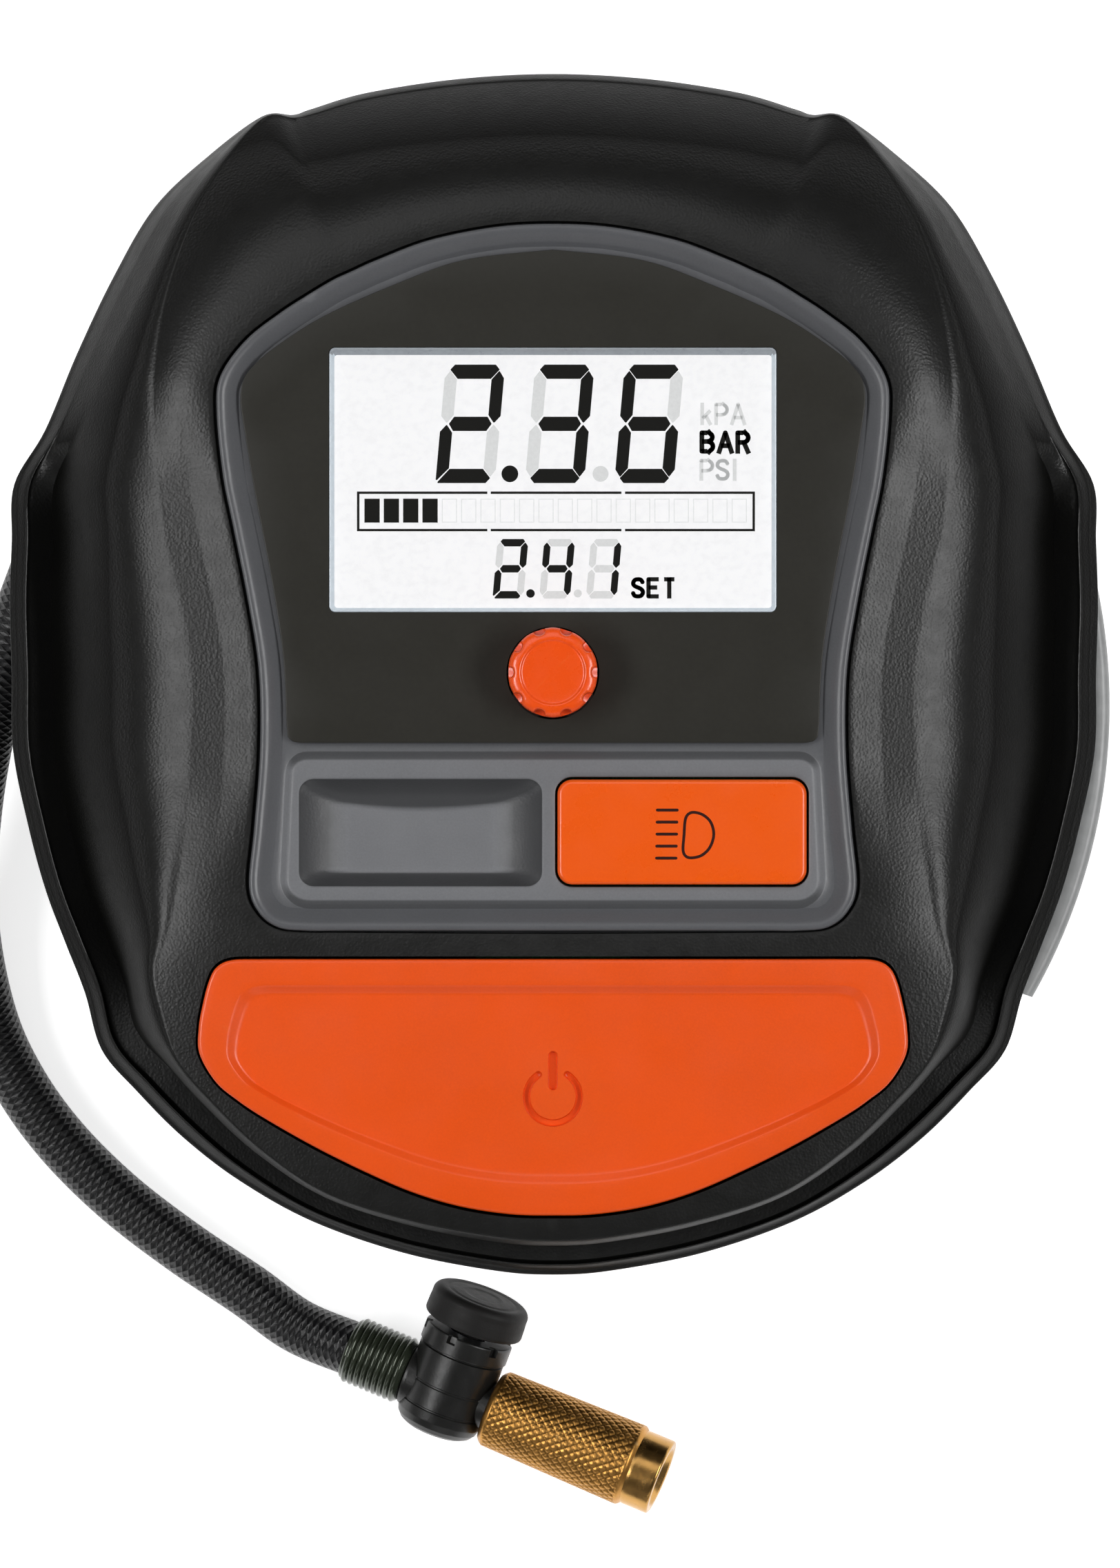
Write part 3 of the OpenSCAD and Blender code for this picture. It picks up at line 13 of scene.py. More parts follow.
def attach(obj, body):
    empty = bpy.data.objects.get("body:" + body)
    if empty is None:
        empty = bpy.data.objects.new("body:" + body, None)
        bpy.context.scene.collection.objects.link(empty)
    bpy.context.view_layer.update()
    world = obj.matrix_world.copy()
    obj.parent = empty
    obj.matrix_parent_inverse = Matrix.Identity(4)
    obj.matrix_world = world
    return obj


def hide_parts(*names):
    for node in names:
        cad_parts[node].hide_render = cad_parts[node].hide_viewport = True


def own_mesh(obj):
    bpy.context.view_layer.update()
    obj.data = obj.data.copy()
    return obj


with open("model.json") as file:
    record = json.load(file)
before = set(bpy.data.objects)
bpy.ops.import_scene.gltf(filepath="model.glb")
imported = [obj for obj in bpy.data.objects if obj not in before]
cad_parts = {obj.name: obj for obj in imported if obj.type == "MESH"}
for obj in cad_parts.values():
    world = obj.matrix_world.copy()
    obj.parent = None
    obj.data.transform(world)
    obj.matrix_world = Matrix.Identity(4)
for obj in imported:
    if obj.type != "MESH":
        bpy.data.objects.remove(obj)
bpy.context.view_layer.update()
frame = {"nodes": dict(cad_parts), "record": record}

MM = 0.001


def linked(name, data):
    ob = bpy.data.objects.new(name, data)
    bpy.context.scene.collection.objects.link(ob)
    return ob


# ---------------------------------------------------------------- camera
EYE, FOCAL_LENGTH, SENSOR_WIDTH, CLIP_END = (1.1, -17.4, 1200.0), 167.45, 36.0, 20.0
camera = linked("camera", bpy.data.cameras.new("camera"))
camera.data.sensor_width, camera.data.lens, camera.data.clip_end = SENSOR_WIDTH, FOCAL_LENGTH, CLIP_END
camera.location = Vector(EYE) * MM
bpy.context.scene.camera = camera

# ---------------------------------------------------------------- mesh helpers
FOOT, TOP_END, BOTH = (True, False), (False, True), (True, True)    # which ends of a loft are closed


def mesh_data(name, verts, faces):
    me = bpy.data.meshes.new(name)
    me.from_pydata((np.asarray(verts, float) * MM).tolist(), [], [tuple(int(i) for i in f) for f in faces])
    return me


def outward(me, weld=0.0):
    """Welds doubled points and turns all faces outward."""
    bm = bmesh.new()
    bm.from_mesh(me)
    if weld:
        bmesh.ops.remove_doubles(bm, verts=bm.verts, dist=weld * MM)
    bmesh.ops.recalc_face_normals(bm, faces=bm.faces)
    bm.to_mesh(me)
    bm.free()


def shade(me, sharp):
    me.polygons.foreach_set("use_smooth", np.ones(len(me.polygons), dtype=bool))
    me.set_sharp_from_angle(angle=radians(sharp))


def mesh(name, shape, stands, slot, sharp=38.0, weld=0.0, body="housing", mats=None, mat_ids=None):
    """A piece from points in millimetres, riding on a body, standing for its CAD node and with its slot's finish."""
    me = mesh_data(name, *shape)
    if mat_ids is not None:
        me.polygons.foreach_set("material_index", np.asarray(mat_ids, dtype=np.int32))
    outward(me, weld)
    return dress(name, me, mats or [slot], body, stands, sharp)


def dress(name, me, mats, body, stands=None, sharp=38.0):
    ob = linked(name, me)
    shade(me, sharp)
    for m in mats:
        me.materials.append(M[m])
    me.update()
    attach(ob, body)
    if stands:
        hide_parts(stands)
    return ob


def loft(loops, ring=False, caps=(False, False)):
    """Points and faces of a skin through loops of equally many points; ring joins the last to the first."""
    loops = np.asarray(loops, float)
    n, m = loops.shape[:2]
    faces = [
        (i * m + k, i * m + (k + 1) % m, (i + 1) % n * m + (k + 1) % m, (i + 1) % n * m + k)
        for i in range(n if ring else n - 1) for k in range(m)
    ]
    if caps[0]:
        faces.append(tuple(range(m)))
    if caps[1]:
        faces.append(tuple(range((n - 1) * m, n * m)))
    return loops.reshape(-1, 3), faces


def with_z(p, z):
    p = np.asarray(p, float)[:, :2]
    return np.column_stack([p, np.broadcast_to(np.asarray(z, float), (len(p),))])


def skin(*rings, caps=(False, False)):
    """A loft through flat outlines, each given with its height."""
    return loft([with_z(p, z) for p, z in rings], caps=caps)


def angles(n):
    return np.arange(n) * 2 * pi / n


def ring(a, r, z):
    """Points round Z at the angles a."""
    return np.stack([r * np.cos(a), r * np.sin(a), np.full(len(a), z)], 1)


def circle(cx, cy, r, n=48):
    return ring(angles(n), r, 0)[:, :2] + [cx, cy]


def arc(cx, cy, r, a0, a1, n):
    return [(cx + r * cos(a), cy + r * sin(a)) for a in (radians(a0 + (a1 - a0) * i / n) for i in range(n + 1))]


def held(profile, near=0.12):
    """The outline with a point close to each corner, so that smooth shading keeps long faces straight."""
    p, out = np.asarray(profile, float), []
    for a, b in zip(p, np.roll(p, -1, axis=0)):
        l = np.linalg.norm(b - a)
        out.append(a)
        if l > 4 * near:
            out += [a + (b - a) * near / l, b - (b - a) * near / l]
    return np.array(out)


def placed(v, m):
    m = np.array(m)
    return np.asarray(v) @ m[:3, :3].T + m[:3, 3]


def turned(profile, sides, at=None):
    """A turned ring about Z from a closed (radius, height) outline."""
    v, f = loft([ring(angles(sides), r, z) for r, z in held(profile)], ring=True)
    return (v, f) if at is None else (placed(v, at), f)


def joined(*parts):
    vs, fs, n = [], [], 0
    for v, f in parts:
        vs.append(np.asarray(v, float))
        fs += [tuple(i + n for i in q) for q in f]
        n += len(v)
    return np.vstack(vs), fs


def frame_at(origin, z):
    """A matrix whose Z axis is z and whose X axis is near X."""
    z = Vector(z).normalized()
    y = z.cross(Vector((1, 0, 0))).normalized()
    m = Matrix((y.cross(z), y, z)).transposed().to_4x4()
    m.translation = Vector(origin)
    return m


def mixed(a, b, t):
    return a + (b - a) * t


def spline(a, b, c, d, t):
    return 0.5 * (2 * b + (c - a) * t + (2 * a - 5 * b + 4 * c - d) * t * t + (3 * b - a - 3 * c + d) * t ** 3)


def curve(points, steps, closed=False):
    """A smooth line through points."""
    p = np.asarray(points, float)
    n, out = len(p), []
    for i in range(n if closed else n - 1):
        q = [p[j % n] if closed else p[min(max(j, 0), n - 1)] for j in (i - 1, i, i + 1, i + 2)]
        out += [spline(*q, k / steps) for k in range(steps)]
    return np.array(out if closed else out + [p[-1]])


def rounded(points, radius, steps=8):
    """A polygon with its corners rounded."""
    p = np.asarray(points, float)
    n, out = len(p), []
    radii = np.broadcast_to(np.asarray(radius, float), (n,))
    for i in range(n):
        a, b, c = p[i - 1], p[i], p[(i + 1) % n]
        la, lc = np.linalg.norm(a - b), np.linalg.norm(c - b)
        u, v = (a - b) / la, (c - b) / lc
        half = math.acos(max(-1, min(1, float(u @ v)))) / 2
        if half > 1.55:
            out.append(b)
            continue
        reach = min(radii[i] / math.tan(half), 0.48 * la, 0.48 * lc)
        fillet = reach * math.tan(half)
        centre = b + (u + v) / np.linalg.norm(u + v) * fillet / sin(half)
        s, e = b + u * reach - centre, b + v * reach - centre
        turn = math.atan2(s[0] * e[1] - s[1] * e[0], s @ e)
        for t in turn * np.arange(steps + 1) / steps:
            out.append(centre + [s[0] * cos(t) - s[1] * sin(t), s[0] * sin(t) + s[1] * cos(t)])
    return np.array(out)


def rectangle(cx, cy, w, l):
    return [(cx - w / 2, cy - l / 2), (cx + w / 2, cy - l / 2), (cx + w / 2, cy + l / 2), (cx - w / 2, cy + l / 2)]


def even(points, n):
    """A closed line with n evenly spaced points."""
    p = np.asarray(points, float)
    q = np.vstack([p, p[:1]])
    d = lengths(q)
    s = np.linspace(0, d[-1], n, endpoint=False)
    return np.stack([np.interp(s, d, q[:, k]) for k in range(q.shape[1])], 1)


def lengths(path):
    """The length along a path at each of its points."""
    return np.concatenate([[0], np.cumsum(np.linalg.norm(np.diff(path, axis=0), axis=1))])


def area(p):
    x, y = np.asarray(p, float)[:, :2].T
    return 0.5 * np.sum(x * np.roll(y, -1) - np.roll(x, -1) * y)


def grown(p, d):
    """A smooth closed line moved out by d, or in by less than nothing."""
    p = np.asarray(p, float)
    s = 1 if area(p) > 0 else -1
    e = np.roll(p, -1, axis=0) - np.roll(p, 1, axis=0)
    e /= np.linalg.norm(e, axis=1, keepdims=True)
    return p + s * d * np.stack([e[:, 1], -e[:, 0]], 1)


def within(pts, poly):
    x, y = pts[:, 0], pts[:, 1]
    inner = np.zeros(len(pts), bool)
    for (x0, y0), (x1, y1) in zip(np.asarray(poly), np.roll(poly, -1, axis=0)):
        cross = (y0 > y) != (y1 > y)
        if cross.any():
            inner ^= cross & (x < (x1 - x0) * (y - y0) / ((y1 - y0) or 1e-12) + x0)
    return inner


def filled(outer, holes, spacing, z):
    """A surface over a flat region, with inner points so that it can follow z, a number or a function of points."""
    lines = [np.asarray(l)[:, :2] for l in (outer, *holes)]
    pts, edges = [], []
    for l in lines:
        n = len(pts)
        pts += l.tolist()
        edges += [(n + k, n + (k + 1) % len(l)) for k in range(len(l))]

    def covered(p):
        ok = within(p, lines[0])
        for h in lines[1:]:
            ok &= ~within(p, h)
        return ok

    lo, hi = lines[0].min(0), lines[0].max(0)
    g = np.meshgrid(np.arange(lo[0] + spacing / 2, hi[0], spacing), np.arange(lo[1] + spacing / 2, hi[1], spacing))
    g = np.stack([g[0].ravel(), g[1].ravel()], 1)
    g = g[covered(g)]
    for l in lines:
        near = np.full(len(g), 1e9)
        for q in l:
            near = np.minimum(near, np.hypot(g[:, 0] - q[0], g[:, 1] - q[1]))
        g = g[near > spacing * 0.4]
    v, _, f, *_ = delaunay_2d_cdt([Vector(q) for q in pts + g.tolist()], edges, [], 0, 1e-5)
    v = np.array([(q[0], q[1]) for q in v])
    f = np.array([list(t) for t in f if len(t) == 3])
    f = f[covered(v[f].mean(axis=1))]
    return with_z(v, z(v) if callable(z) else z), [tuple(t) for t in f]


def cut(ob, shape, sharp):
    """Takes a solid's volume out of ob."""
    me = mesh_data("cutter", *shape)
    outward(me)
    cutter = linked("cutter", me)
    bpy.context.view_layer.update()
    m = ob.modifiers.new("cut", "BOOLEAN")
    m.operation, m.solver, m.object = "DIFFERENCE", "EXACT", cutter
    me = bpy.data.meshes.new_from_object(ob.evaluated_get(bpy.context.evaluated_depsgraph_get()))
    ob.modifiers.clear()
    bpy.data.objects.remove(cutter, do_unlink=True)
    old, ob.data = ob.data, me
    bpy.data.meshes.remove(old)
    shade(me, sharp)


# ---------------------------------------------------------------- materials
def srgb(*rgb):
    return tuple(c / 12.92 if c <= 0.04045 else ((c + 0.055) / 1.055) ** 2.4 for c in (v / 255 for v in rgb)) + (1.0,)


def times(c, k):
    return tuple(min(1.0, x * k) for x in c[:3]) + (1.0,)


def fill(t, node, inputs):
    """Gives a node's inputs their links or their values."""
    for k, v in inputs.items():
        if isinstance(v, bpy.types.NodeSocket):
            t.links.new(v, node.inputs[k])
        else:
            node.inputs[k].default_value = v


def add(t, kind, inputs=None, **attrs):
    n = t.nodes.new("ShaderNode" + kind)
    for k, v in attrs.items():
        setattr(n, k, v)
    fill(t, n, inputs or {})
    return n


def calc(t, op, a, b=0.0, clamp=False):
    return add(t, "Math", {0: a, 1: b}, operation=op, use_clamp=clamp).outputs[0]


def ramp(t, value, low, high, to_low=0.0, to_high=1.0):
    return add(t, "MapRange", {"Value": value, "From Min": low, "From Max": high,
                               "To Min": to_low, "To Max": to_high}).outputs[0]


def mix(t, fac, a, b):
    return add(t, "MixRGB", {"Fac": fac, "Color1": a, "Color2": b}).outputs[0]


def noise(t, vector, scale, detail, rough=0.5):
    return add(t, "TexNoise", {"Vector": vector, "Scale": scale, "Detail": detail, "Roughness": rough}).outputs[0]


def bump(t, height, depth):
    return add(t, "Bump", {"Strength": 1.0, "Distance": depth * MM, "Height": height}).outputs[0]


def blank(name):
    """A material with a bare Principled shader, its nodes and its object coordinates."""
    m = bpy.data.materials.new(name)
    m.use_nodes = True
    t = m.node_tree
    t.nodes.clear()
    bs = add(t, "BsdfPrincipled")
    add(t, "OutputMaterial", {"Surface": bs.outputs["BSDF"]})
    return m, t, bs, add(t, "TexCoord").outputs


def surface(name, rgb, rough, grain, depth, metal=0.0, spec=0.5, coat=0.0, coat_rough=0.1, cells=0.5, mottle=0.10,
            mottle_size=9.0, rough_var=0.07, edge_wear_and_highlight=0.0, worn_and_lit_rgb=None, stretch=None, dust=0.0, glow=0.0, pits=0.0,
            falloff=0.0, dish=0.0, slope=0.0):
    """A moulded, cast or turned finish: a fine grain, uneven colour and gloss, and pale edges, partly wear and partly
    painted highlight.

    The edge setting brightens convex edges with rubbed wear and a painted edge highlight, and pits darken concave ones
    with painted shade. Dish and slope darken faces that lean by their object normal, as painted shade. Falloff lowers
    the specular level where a face turns away from the eye."""
    m, t, bs, coords = blank(name)
    colour, co = srgb(*rgb), coords["Object"]
    fine = add(t, "Mapping", {"Vector": co, "Scale": stretch}).outputs[0] if stretch else co
    k = 1.0 / (grain * MM)
    grains = noise(t, fine, k, 4.0, 0.6)
    cell = add(t, "TexVoronoi", {"Vector": fine, "Scale": k * 0.7, "Smoothness": 0.6}, feature="SMOOTH_F1")
    broad = noise(t, co, 1.0 / (mottle_size * MM), 5.0, 0.62)
    tint = mix(t, ramp(t, broad, 0.3, 0.7), times(colour, 1 - mottle), times(colour, 1 + mottle))
    tint = mix(t, ramp(t, grains, 0.35, 0.75, 0.0, 0.35), tint, times(colour, 1.35))
    if dust:
        specks = add(t, "TexVoronoi", {"Vector": co, "Scale": 260.0, "Randomness": 1.0}).outputs["Distance"]
        tint = mix(t, ramp(t, specks, 0.05, 0.02, 0.0, dust), tint, times(colour, 3.0))
    edge = add(t, "NewGeometry").outputs["Pointiness"] if edge_wear_and_highlight or pits else None
    # Pale convex edges: partly rubbed wear, partly a painted edge highlight.
    if edge_wear_and_highlight:
        rubbed_and_lit = calc(t, "MULTIPLY", ramp(t, edge, 0.53, 0.61, 0.0, edge_wear_and_highlight), broad, True)
        tint = mix(t, rubbed_and_lit, tint, srgb(*worn_and_lit_rgb))
    dark = times(colour, 0.12)
    # Painted shade: colour darkened in concave hollows, such as the knurl's grooves.
    if pits:
        tint = mix(t, ramp(t, edge, 0.50, 0.44, 0.0, pits), tint, dark)
    # Painted shade: faces leaning by their object normal are darkened. Dish darkens a recess's walls, most on walls
    # facing -Y; slope darkens faces leaning toward -Y or +Y.
    if dish or slope:
        way = add(t, "SeparateXYZ", {"Vector": coords["Normal"]}).outputs
        if dish:
            level = calc(t, "ADD", way[2], calc(t, "MULTIPLY", way[1], 0.15))
            tint = mix(t, ramp(t, level, 0.99, 0.92, 0.0, dish), tint, dark)
        else:
            tint = mix(t, ramp(t, calc(t, "ABSOLUTE", way[1]), 0.10, 0.38, 0.0, slope), tint, dark)
    gleam = spec
    if falloff:
        facing = add(t, "LayerWeight", {"Blend": 0.5}).outputs["Facing"]
        gleam = ramp(t, facing, 0.06, 0.42, spec, spec * (1 - falloff))
    gloss = noise(t, co, 1.0 / (mottle_size * 0.4 * MM), 6.0, 0.7)
    fill(t, bs, {
        "Normal": bump(t, mix(t, cells, grains, cell.outputs["Distance"]), depth), "Base Color": tint,
        "Roughness": ramp(t, gloss, 0.25, 0.75, max(0.02, rough - rough_var), min(1, rough + rough_var)),
        "Metallic": metal, "Specular IOR Level": gleam, "IOR": 1.5, "Coat Weight": coat, "Coat Roughness": coat_rough,
        "Emission Color": colour, "Emission Strength": glow,
    })
    return m


def board_material():
    """Green solder mask with copper tracks under it."""
    m, t, bs, coords = blank("circuit board green")
    grid = add(t, "TexBrick", {
        "Vector": coords["Object"], "Scale": 160.0, "Mortar Size": 0.012,
        "Color1": srgb(20, 84, 46), "Color2": srgb(18, 76, 42), "Mortar": srgb(34, 116, 62),
    }).outputs
    spots = add(t, "TexVoronoi", {"Vector": coords["Object"], "Scale": 210.0}).outputs["Distance"]
    tint = mix(t, ramp(t, spots, 0.16, 0.13), grid["Color"], srgb(190, 178, 150))
    fill(t, bs, {"Base Color": tint, "Normal": bump(t, grid["Fac"], 0.02), "Roughness": 0.3})
    return m


def lens_material():
    """A frosted clear lens with fine upright flutes."""
    m, t, bs, coords = blank("lamp lens frosted")
    frost = noise(t, coords["Object"], 2600.0, 3.0)
    upright = add(t, "Mapping", {"Vector": coords["Object"], "Scale": (1.0, 1.0, 0.05)}).outputs[0]
    streak = noise(t, upright, 420.0, 3.0)
    fill(t, bs, {
        "Normal": bump(t, mix(t, 0.5, frost, streak), 0.03),
        "Base Color": mix(t, streak, srgb(158, 160, 160), srgb(196, 197, 197)),
        "Roughness": ramp(t, frost, 0.0, 1.0, 0.28, 0.46), "Transmission Weight": 0.35, "IOR": 1.49,
    })
    return m


def braid_material(pitch, rows):
    """A textile braid laid by the tube's own coordinates: u along it in millimetres, v once round it."""
    m, t, bs, coords = blank("hose braid black")
    uv = add(t, "SeparateXYZ", {"Vector": add(t, "UVMap", uv_map="along").outputs[0]}).outputs
    u, v = calc(t, "DIVIDE", uv[0], pitch), calc(t, "MULTIPLY", uv[1], rows)
    a, b = calc(t, "ADD", u, v), calc(t, "SUBTRACT", u, v)

    def arch(s, power):
        half_wave = calc(t, "SINE", calc(t, "MULTIPLY", calc(t, "FRACT", s), pi))
        return calc(t, "POWER", half_wave, power)

    odd = calc(t, "FLOORED_MODULO", calc(t, "ADD", calc(t, "FLOOR", a), calc(t, "FLOOR", b)), 2.0)
    over_a = calc(t, "MULTIPLY", arch(a, 0.7), arch(b, 0.45))
    over_b = calc(t, "MULTIPLY", arch(b, 0.7), arch(a, 0.45))
    strands = mix(t, odd, over_a, over_b)
    along_b = add(t, "CombineXYZ", {"X": calc(t, "MULTIPLY", a, 9.0), "Y": b}).outputs[0]
    along_a = add(t, "CombineXYZ", {"X": a, "Y": calc(t, "MULTIPLY", b, 9.0)}).outputs[0]
    fibres = noise(t, mix(t, odd, along_b, along_a), 1.4, 2.0)
    # Strands darker where they dip under each other and paler on their crowns: painted shade between strands, with
    # random tone from the noise.
    strand_shade_and_tone = calc(t, "MULTIPLY", strands, calc(t, "ADD", noise(t, coords["Object"], 90.0, 4.0), 0.35), True)
    fill(t, bs, {
        "Normal": bump(t, calc(t, "ADD", strands, calc(t, "MULTIPLY", fibres, 0.22)), 0.21),
        "Base Color": mix(t, strand_shade_and_tone, srgb(3, 3, 4), srgb(17, 17, 19)),
        "Roughness": ramp(t, fibres, 0.0, 1.0, 0.2, 0.4), "Specular IOR Level": 0.48,
    })
    return m


# By the CAD's material slots and by what only the looks need. Each finish: its name, colour, roughness, grain size
# and grain depth in millimetres, then what differs from surface()'s own values
# The edge settings lighten convex edges: partly rubbed wear and partly a painted edge highlight.
M = {
    "cover": surface("housing grained black", (15, 15, 14), 0.38, 0.30, 0.055, cells=0.65, mottle=0.12, edge_wear_and_highlight=0.2,
        worn_and_lit_rgb=(60, 60, 58), spec=0.45, dust=0.3, rough_var=0.05, falloff=0.95),
    "housing_black": surface("base satin black", (22, 22, 22), 0.36, 0.55, 0.018, cells=0.4, mottle=0.12, edge_wear_and_highlight=0.2,
        worn_and_lit_rgb=(60, 60, 60), falloff=0.6),
    # The frame grey's slope setting paints shade on faces leaning toward -Y or +Y.
    "frame_grey": surface("display frame grey", (112, 113, 116), 0.42, 0.34, 0.022, cells=0.6, mottle=0.04, edge_wear_and_highlight=0.25,
        worn_and_lit_rgb=(140, 141, 144), spec=0.4, slope=0.6),
    # The recess finish's dish setting paints shade on the finger recess's walls.
    "bezel_recess": surface("display frame recess grey painted shade", (114, 115, 118), 0.42, 0.30, 0.032, cells=0.6, mottle=0.05,
        spec=0.4, dish=0.78),
    # A darker copy of the frame grey for the rim and the flat face round the panel: painted shade.
    "bezel_rim": surface("display frame rim grey painted shade", (86, 87, 90), 0.36, 0.34, 0.018, cells=0.6, mottle=0.04, edge_wear_and_highlight=0.35,
        worn_and_lit_rgb=(126, 127, 130)),
    "panel_dark": surface("display panel dark", (47, 46, 42), 0.34, 0.8, 0.002, cells=0.2, mottle=0.03, spec=0.18,
        mottle_size=25),
    "lcd_grey": surface("display glass pale", (214, 214, 215), 0.30, 1.2, 0.0015, cells=0.2, mottle=0.012,
        mottle_size=14, rough_var=0.03, spec=0.2, glow=0.42),
    "lcd_edge": surface("display glass edge", (196, 206, 214), 0.22, 0.7, 0.01, mottle=0.06, mottle_size=4, coat=0.2,
        glow=0.15),
    # A greyer finish for the glass's upper edge: a painted shadow of the panel's opening edge.
    "lcd_shade": surface("display glass upper edge painted shadow", (150, 156, 162), 0.3, 0.7, 0.01, mottle=0.06, mottle_size=4,
        coat=0.2),
    "ink": surface("display ink", (24, 24, 22), 0.5, 0.5, 0.001, mottle=0.04, spec=0.1),
    "ghost": surface("display faint segments", (186, 187, 187), 0.5, 0.5, 0.001, mottle=0.02, spec=0.1, glow=0.42),
    "cell": surface("display faint cells", (199, 200, 200), 0.5, 0.5, 0.001, mottle=0.02, spec=0.1, glow=0.42),
    "start_orange": surface("start button orange", (236, 82, 14), 0.34, 0.30, 0.016, mottle=0.05, mottle_size=22,
        edge_wear_and_highlight=0.25, worn_and_lit_rgb=(240, 112, 50), coat=0.08, coat_rough=0.3),
    "light_orange": surface("lamp button orange", (246, 90, 4), 0.30, 0.35, 0.003, cells=0.3, mottle=0.015,
        mottle_size=18, edge_wear_and_highlight=0.3, worn_and_lit_rgb=(248, 130, 60), coat=0.2, coat_rough=0.2),
    "knob_orange": surface("knob orange", (245, 80, 6), 0.28, 0.30, 0.004, cells=0.3, mottle=0.02, edge_wear_and_highlight=0.3,
        worn_and_lit_rgb=(245, 125, 60), coat=0.3, coat_rough=0.15),
    "icon": surface("dark printed mark", (46, 12, 6), 0.5, 0.3, 0.001, mottle=0.05, spec=0.2),
    "rubber_black": surface("rubber black", (20, 20, 20), 0.66, 0.30, 0.025, mottle=0.15, dust=0.3, spec=0.3),
    "chuck": surface("chuck body black", (24, 24, 23), 0.34, 0.28, 0.02, cells=0.4, mottle=0.22, mottle_size=4,
        edge_wear_and_highlight=0.35, worn_and_lit_rgb=(84, 82, 80), dust=0.35),
    "cap": surface("release cap charcoal", (25, 24, 23), 0.58, 0.26, 0.022, mottle=0.16, mottle_size=4, edge_wear_and_highlight=0.3,
        worn_and_lit_rgb=(80, 77, 74), dust=0.15, spec=0.3),
    "ferrule_dark": surface("ferrule green black", (56, 62, 50), 0.2, 0.3, 0.004, metal=0.5, cells=0.3, mottle=0.15,
        mottle_size=4, edge_wear_and_highlight=0.12, worn_and_lit_rgb=(120, 126, 112), coat=0.4, coat_rough=0.12),
    # The knurled brass's pits setting paints shade into its grooves.
    "brass_knurled": surface("brass knurled", (186, 136, 70), 0.36, 0.22, 0.014, metal=1.0, mottle=0.18, mottle_size=4,
        rough_var=0.10, edge_wear_and_highlight=0.6, worn_and_lit_rgb=(226, 196, 140), pits=0.75),
    "brass": surface("brass turned", (190, 146, 84), 0.24, 0.16, 0.004, metal=1.0, cells=0.3, mottle=0.14,
        mottle_size=5, rough_var=0.08),
    "screw_steel": surface("steel zinc plated", (186, 188, 190), 0.30, 0.35, 0.004, metal=1.0, cells=0.3, mottle_size=3,
        rough_var=0.1),
    "shaft_steel": surface("steel machined", (176, 178, 180), 0.24, 0.2, 0.003, metal=1.0, cells=0.2, mottle=0.06,
        mottle_size=6, rough_var=0.06),
    "cast_aluminium": surface("aluminium cast", (172, 175, 178), 0.48, 0.6, 0.03, metal=1.0, cells=0.6, mottle_size=7),
    "copper_winding": surface("copper winding", (160, 86, 46), 0.30, 0.4, 0.05, metal=1.0, cells=0.2, mottle=0.2,
        mottle_size=3, stretch=(0.15, 1, 1)),
    "magnet_grey": surface("ferrite magnet", (76, 76, 80), 0.55, 0.3, 0.012, mottle=0.15),
    "plastic_white": surface("acetal natural", (232, 226, 214), 0.38, 0.4, 0.004, mottle=0.03),
    "plastic_black": surface("switch plastic black", (36, 36, 37), 0.42, 0.35, 0.01),
    "backlight_white": surface("light guide white", (232, 232, 226), 0.4, 0.5, 0.004, mottle=0.03),
    "reflector_silver": surface("reflector metallised", (226, 228, 230), 0.14, 0.8, 0.002, metal=1.0, mottle=0.04),
    "lamp_board_white": surface("lamp board white", (216, 220, 214), 0.5, 0.5, 0.005, mottle=0.05),
    "board_green": board_material(), "lens_clear": lens_material(), "braided_hose": braid_material(1.25, 12),
}

# ---------------------------------------------------------------- the hose, as in the CAD source
HOSE_D, LOOP_R, GLAND_Z, GLAND_L = 9.0, 75.0, 25.0, 12.0
FERRULE_D, FERRULE_L, CHUCK_D, STEM_X = 11.2, 10.4, 14.3, -0.8
HUB_L = CHUCK_D / 2 - STEM_X + 0.05
SLEEVE_X = CHUCK_D / 2 + STEM_X + 0.4
chuck_frame = (
    Matrix.Translation((-16.35, -116.5, 8.9)) @ Matrix.Rotation(radians(-21.9), 4, "Z")
    @ Matrix.Rotation(radians(-9), 4, "Y") @ Matrix.Rotation(radians(10), 4, "X")
)
chuck_dir = np.array(chuck_frame.to_3x3() @ Vector((1, 0, 0)))
block_to = radians(190)
gland_dir = np.array([sin(block_to - pi), -cos(block_to - pi), 0])
gland_start = np.array([LOOP_R * cos(block_to), LOOP_R * sin(block_to), GLAND_Z])
gland_end = gland_start + GLAND_L * gland_dir
hose_end = np.array(chuck_frame.translation) - (HUB_L + FERRULE_L) * chuck_dir
loop_route = [(LOOP_R * cos(radians(a)), LOOP_R * sin(radians(a)), 24.0) for a in np.arange(224, 456.1, 14.5)]
free_route = [
    (-28, 72, 23.8), (-44, 67.5, 23.8), (-58, 58.5, 23.8), (-69.5, 46, 23.8), (-77.5, 32, 23.8), (-83, 17.5, 23.4),
    (-88.3, 3, 21.6), (-92.3, -12, 18), (-94.6, -27, 13.4), (-94.8, -41.5, 9.2), (-92.2, -55.5, 6.3),
    (-87.6, -66, 5.1), (-80.8, -75.6, 4.8), (-71.6, -84.8, 4.8), (-61, -93, 4.8), (-50, -100.4, 4.8),
]
hose_path = curve(np.array(
    [gland_end, gland_end + HOSE_D * gland_dir] + loop_route + free_route
    + [hose_end - 1.05 * HOSE_D * chuck_dir, hose_end]
), 14)


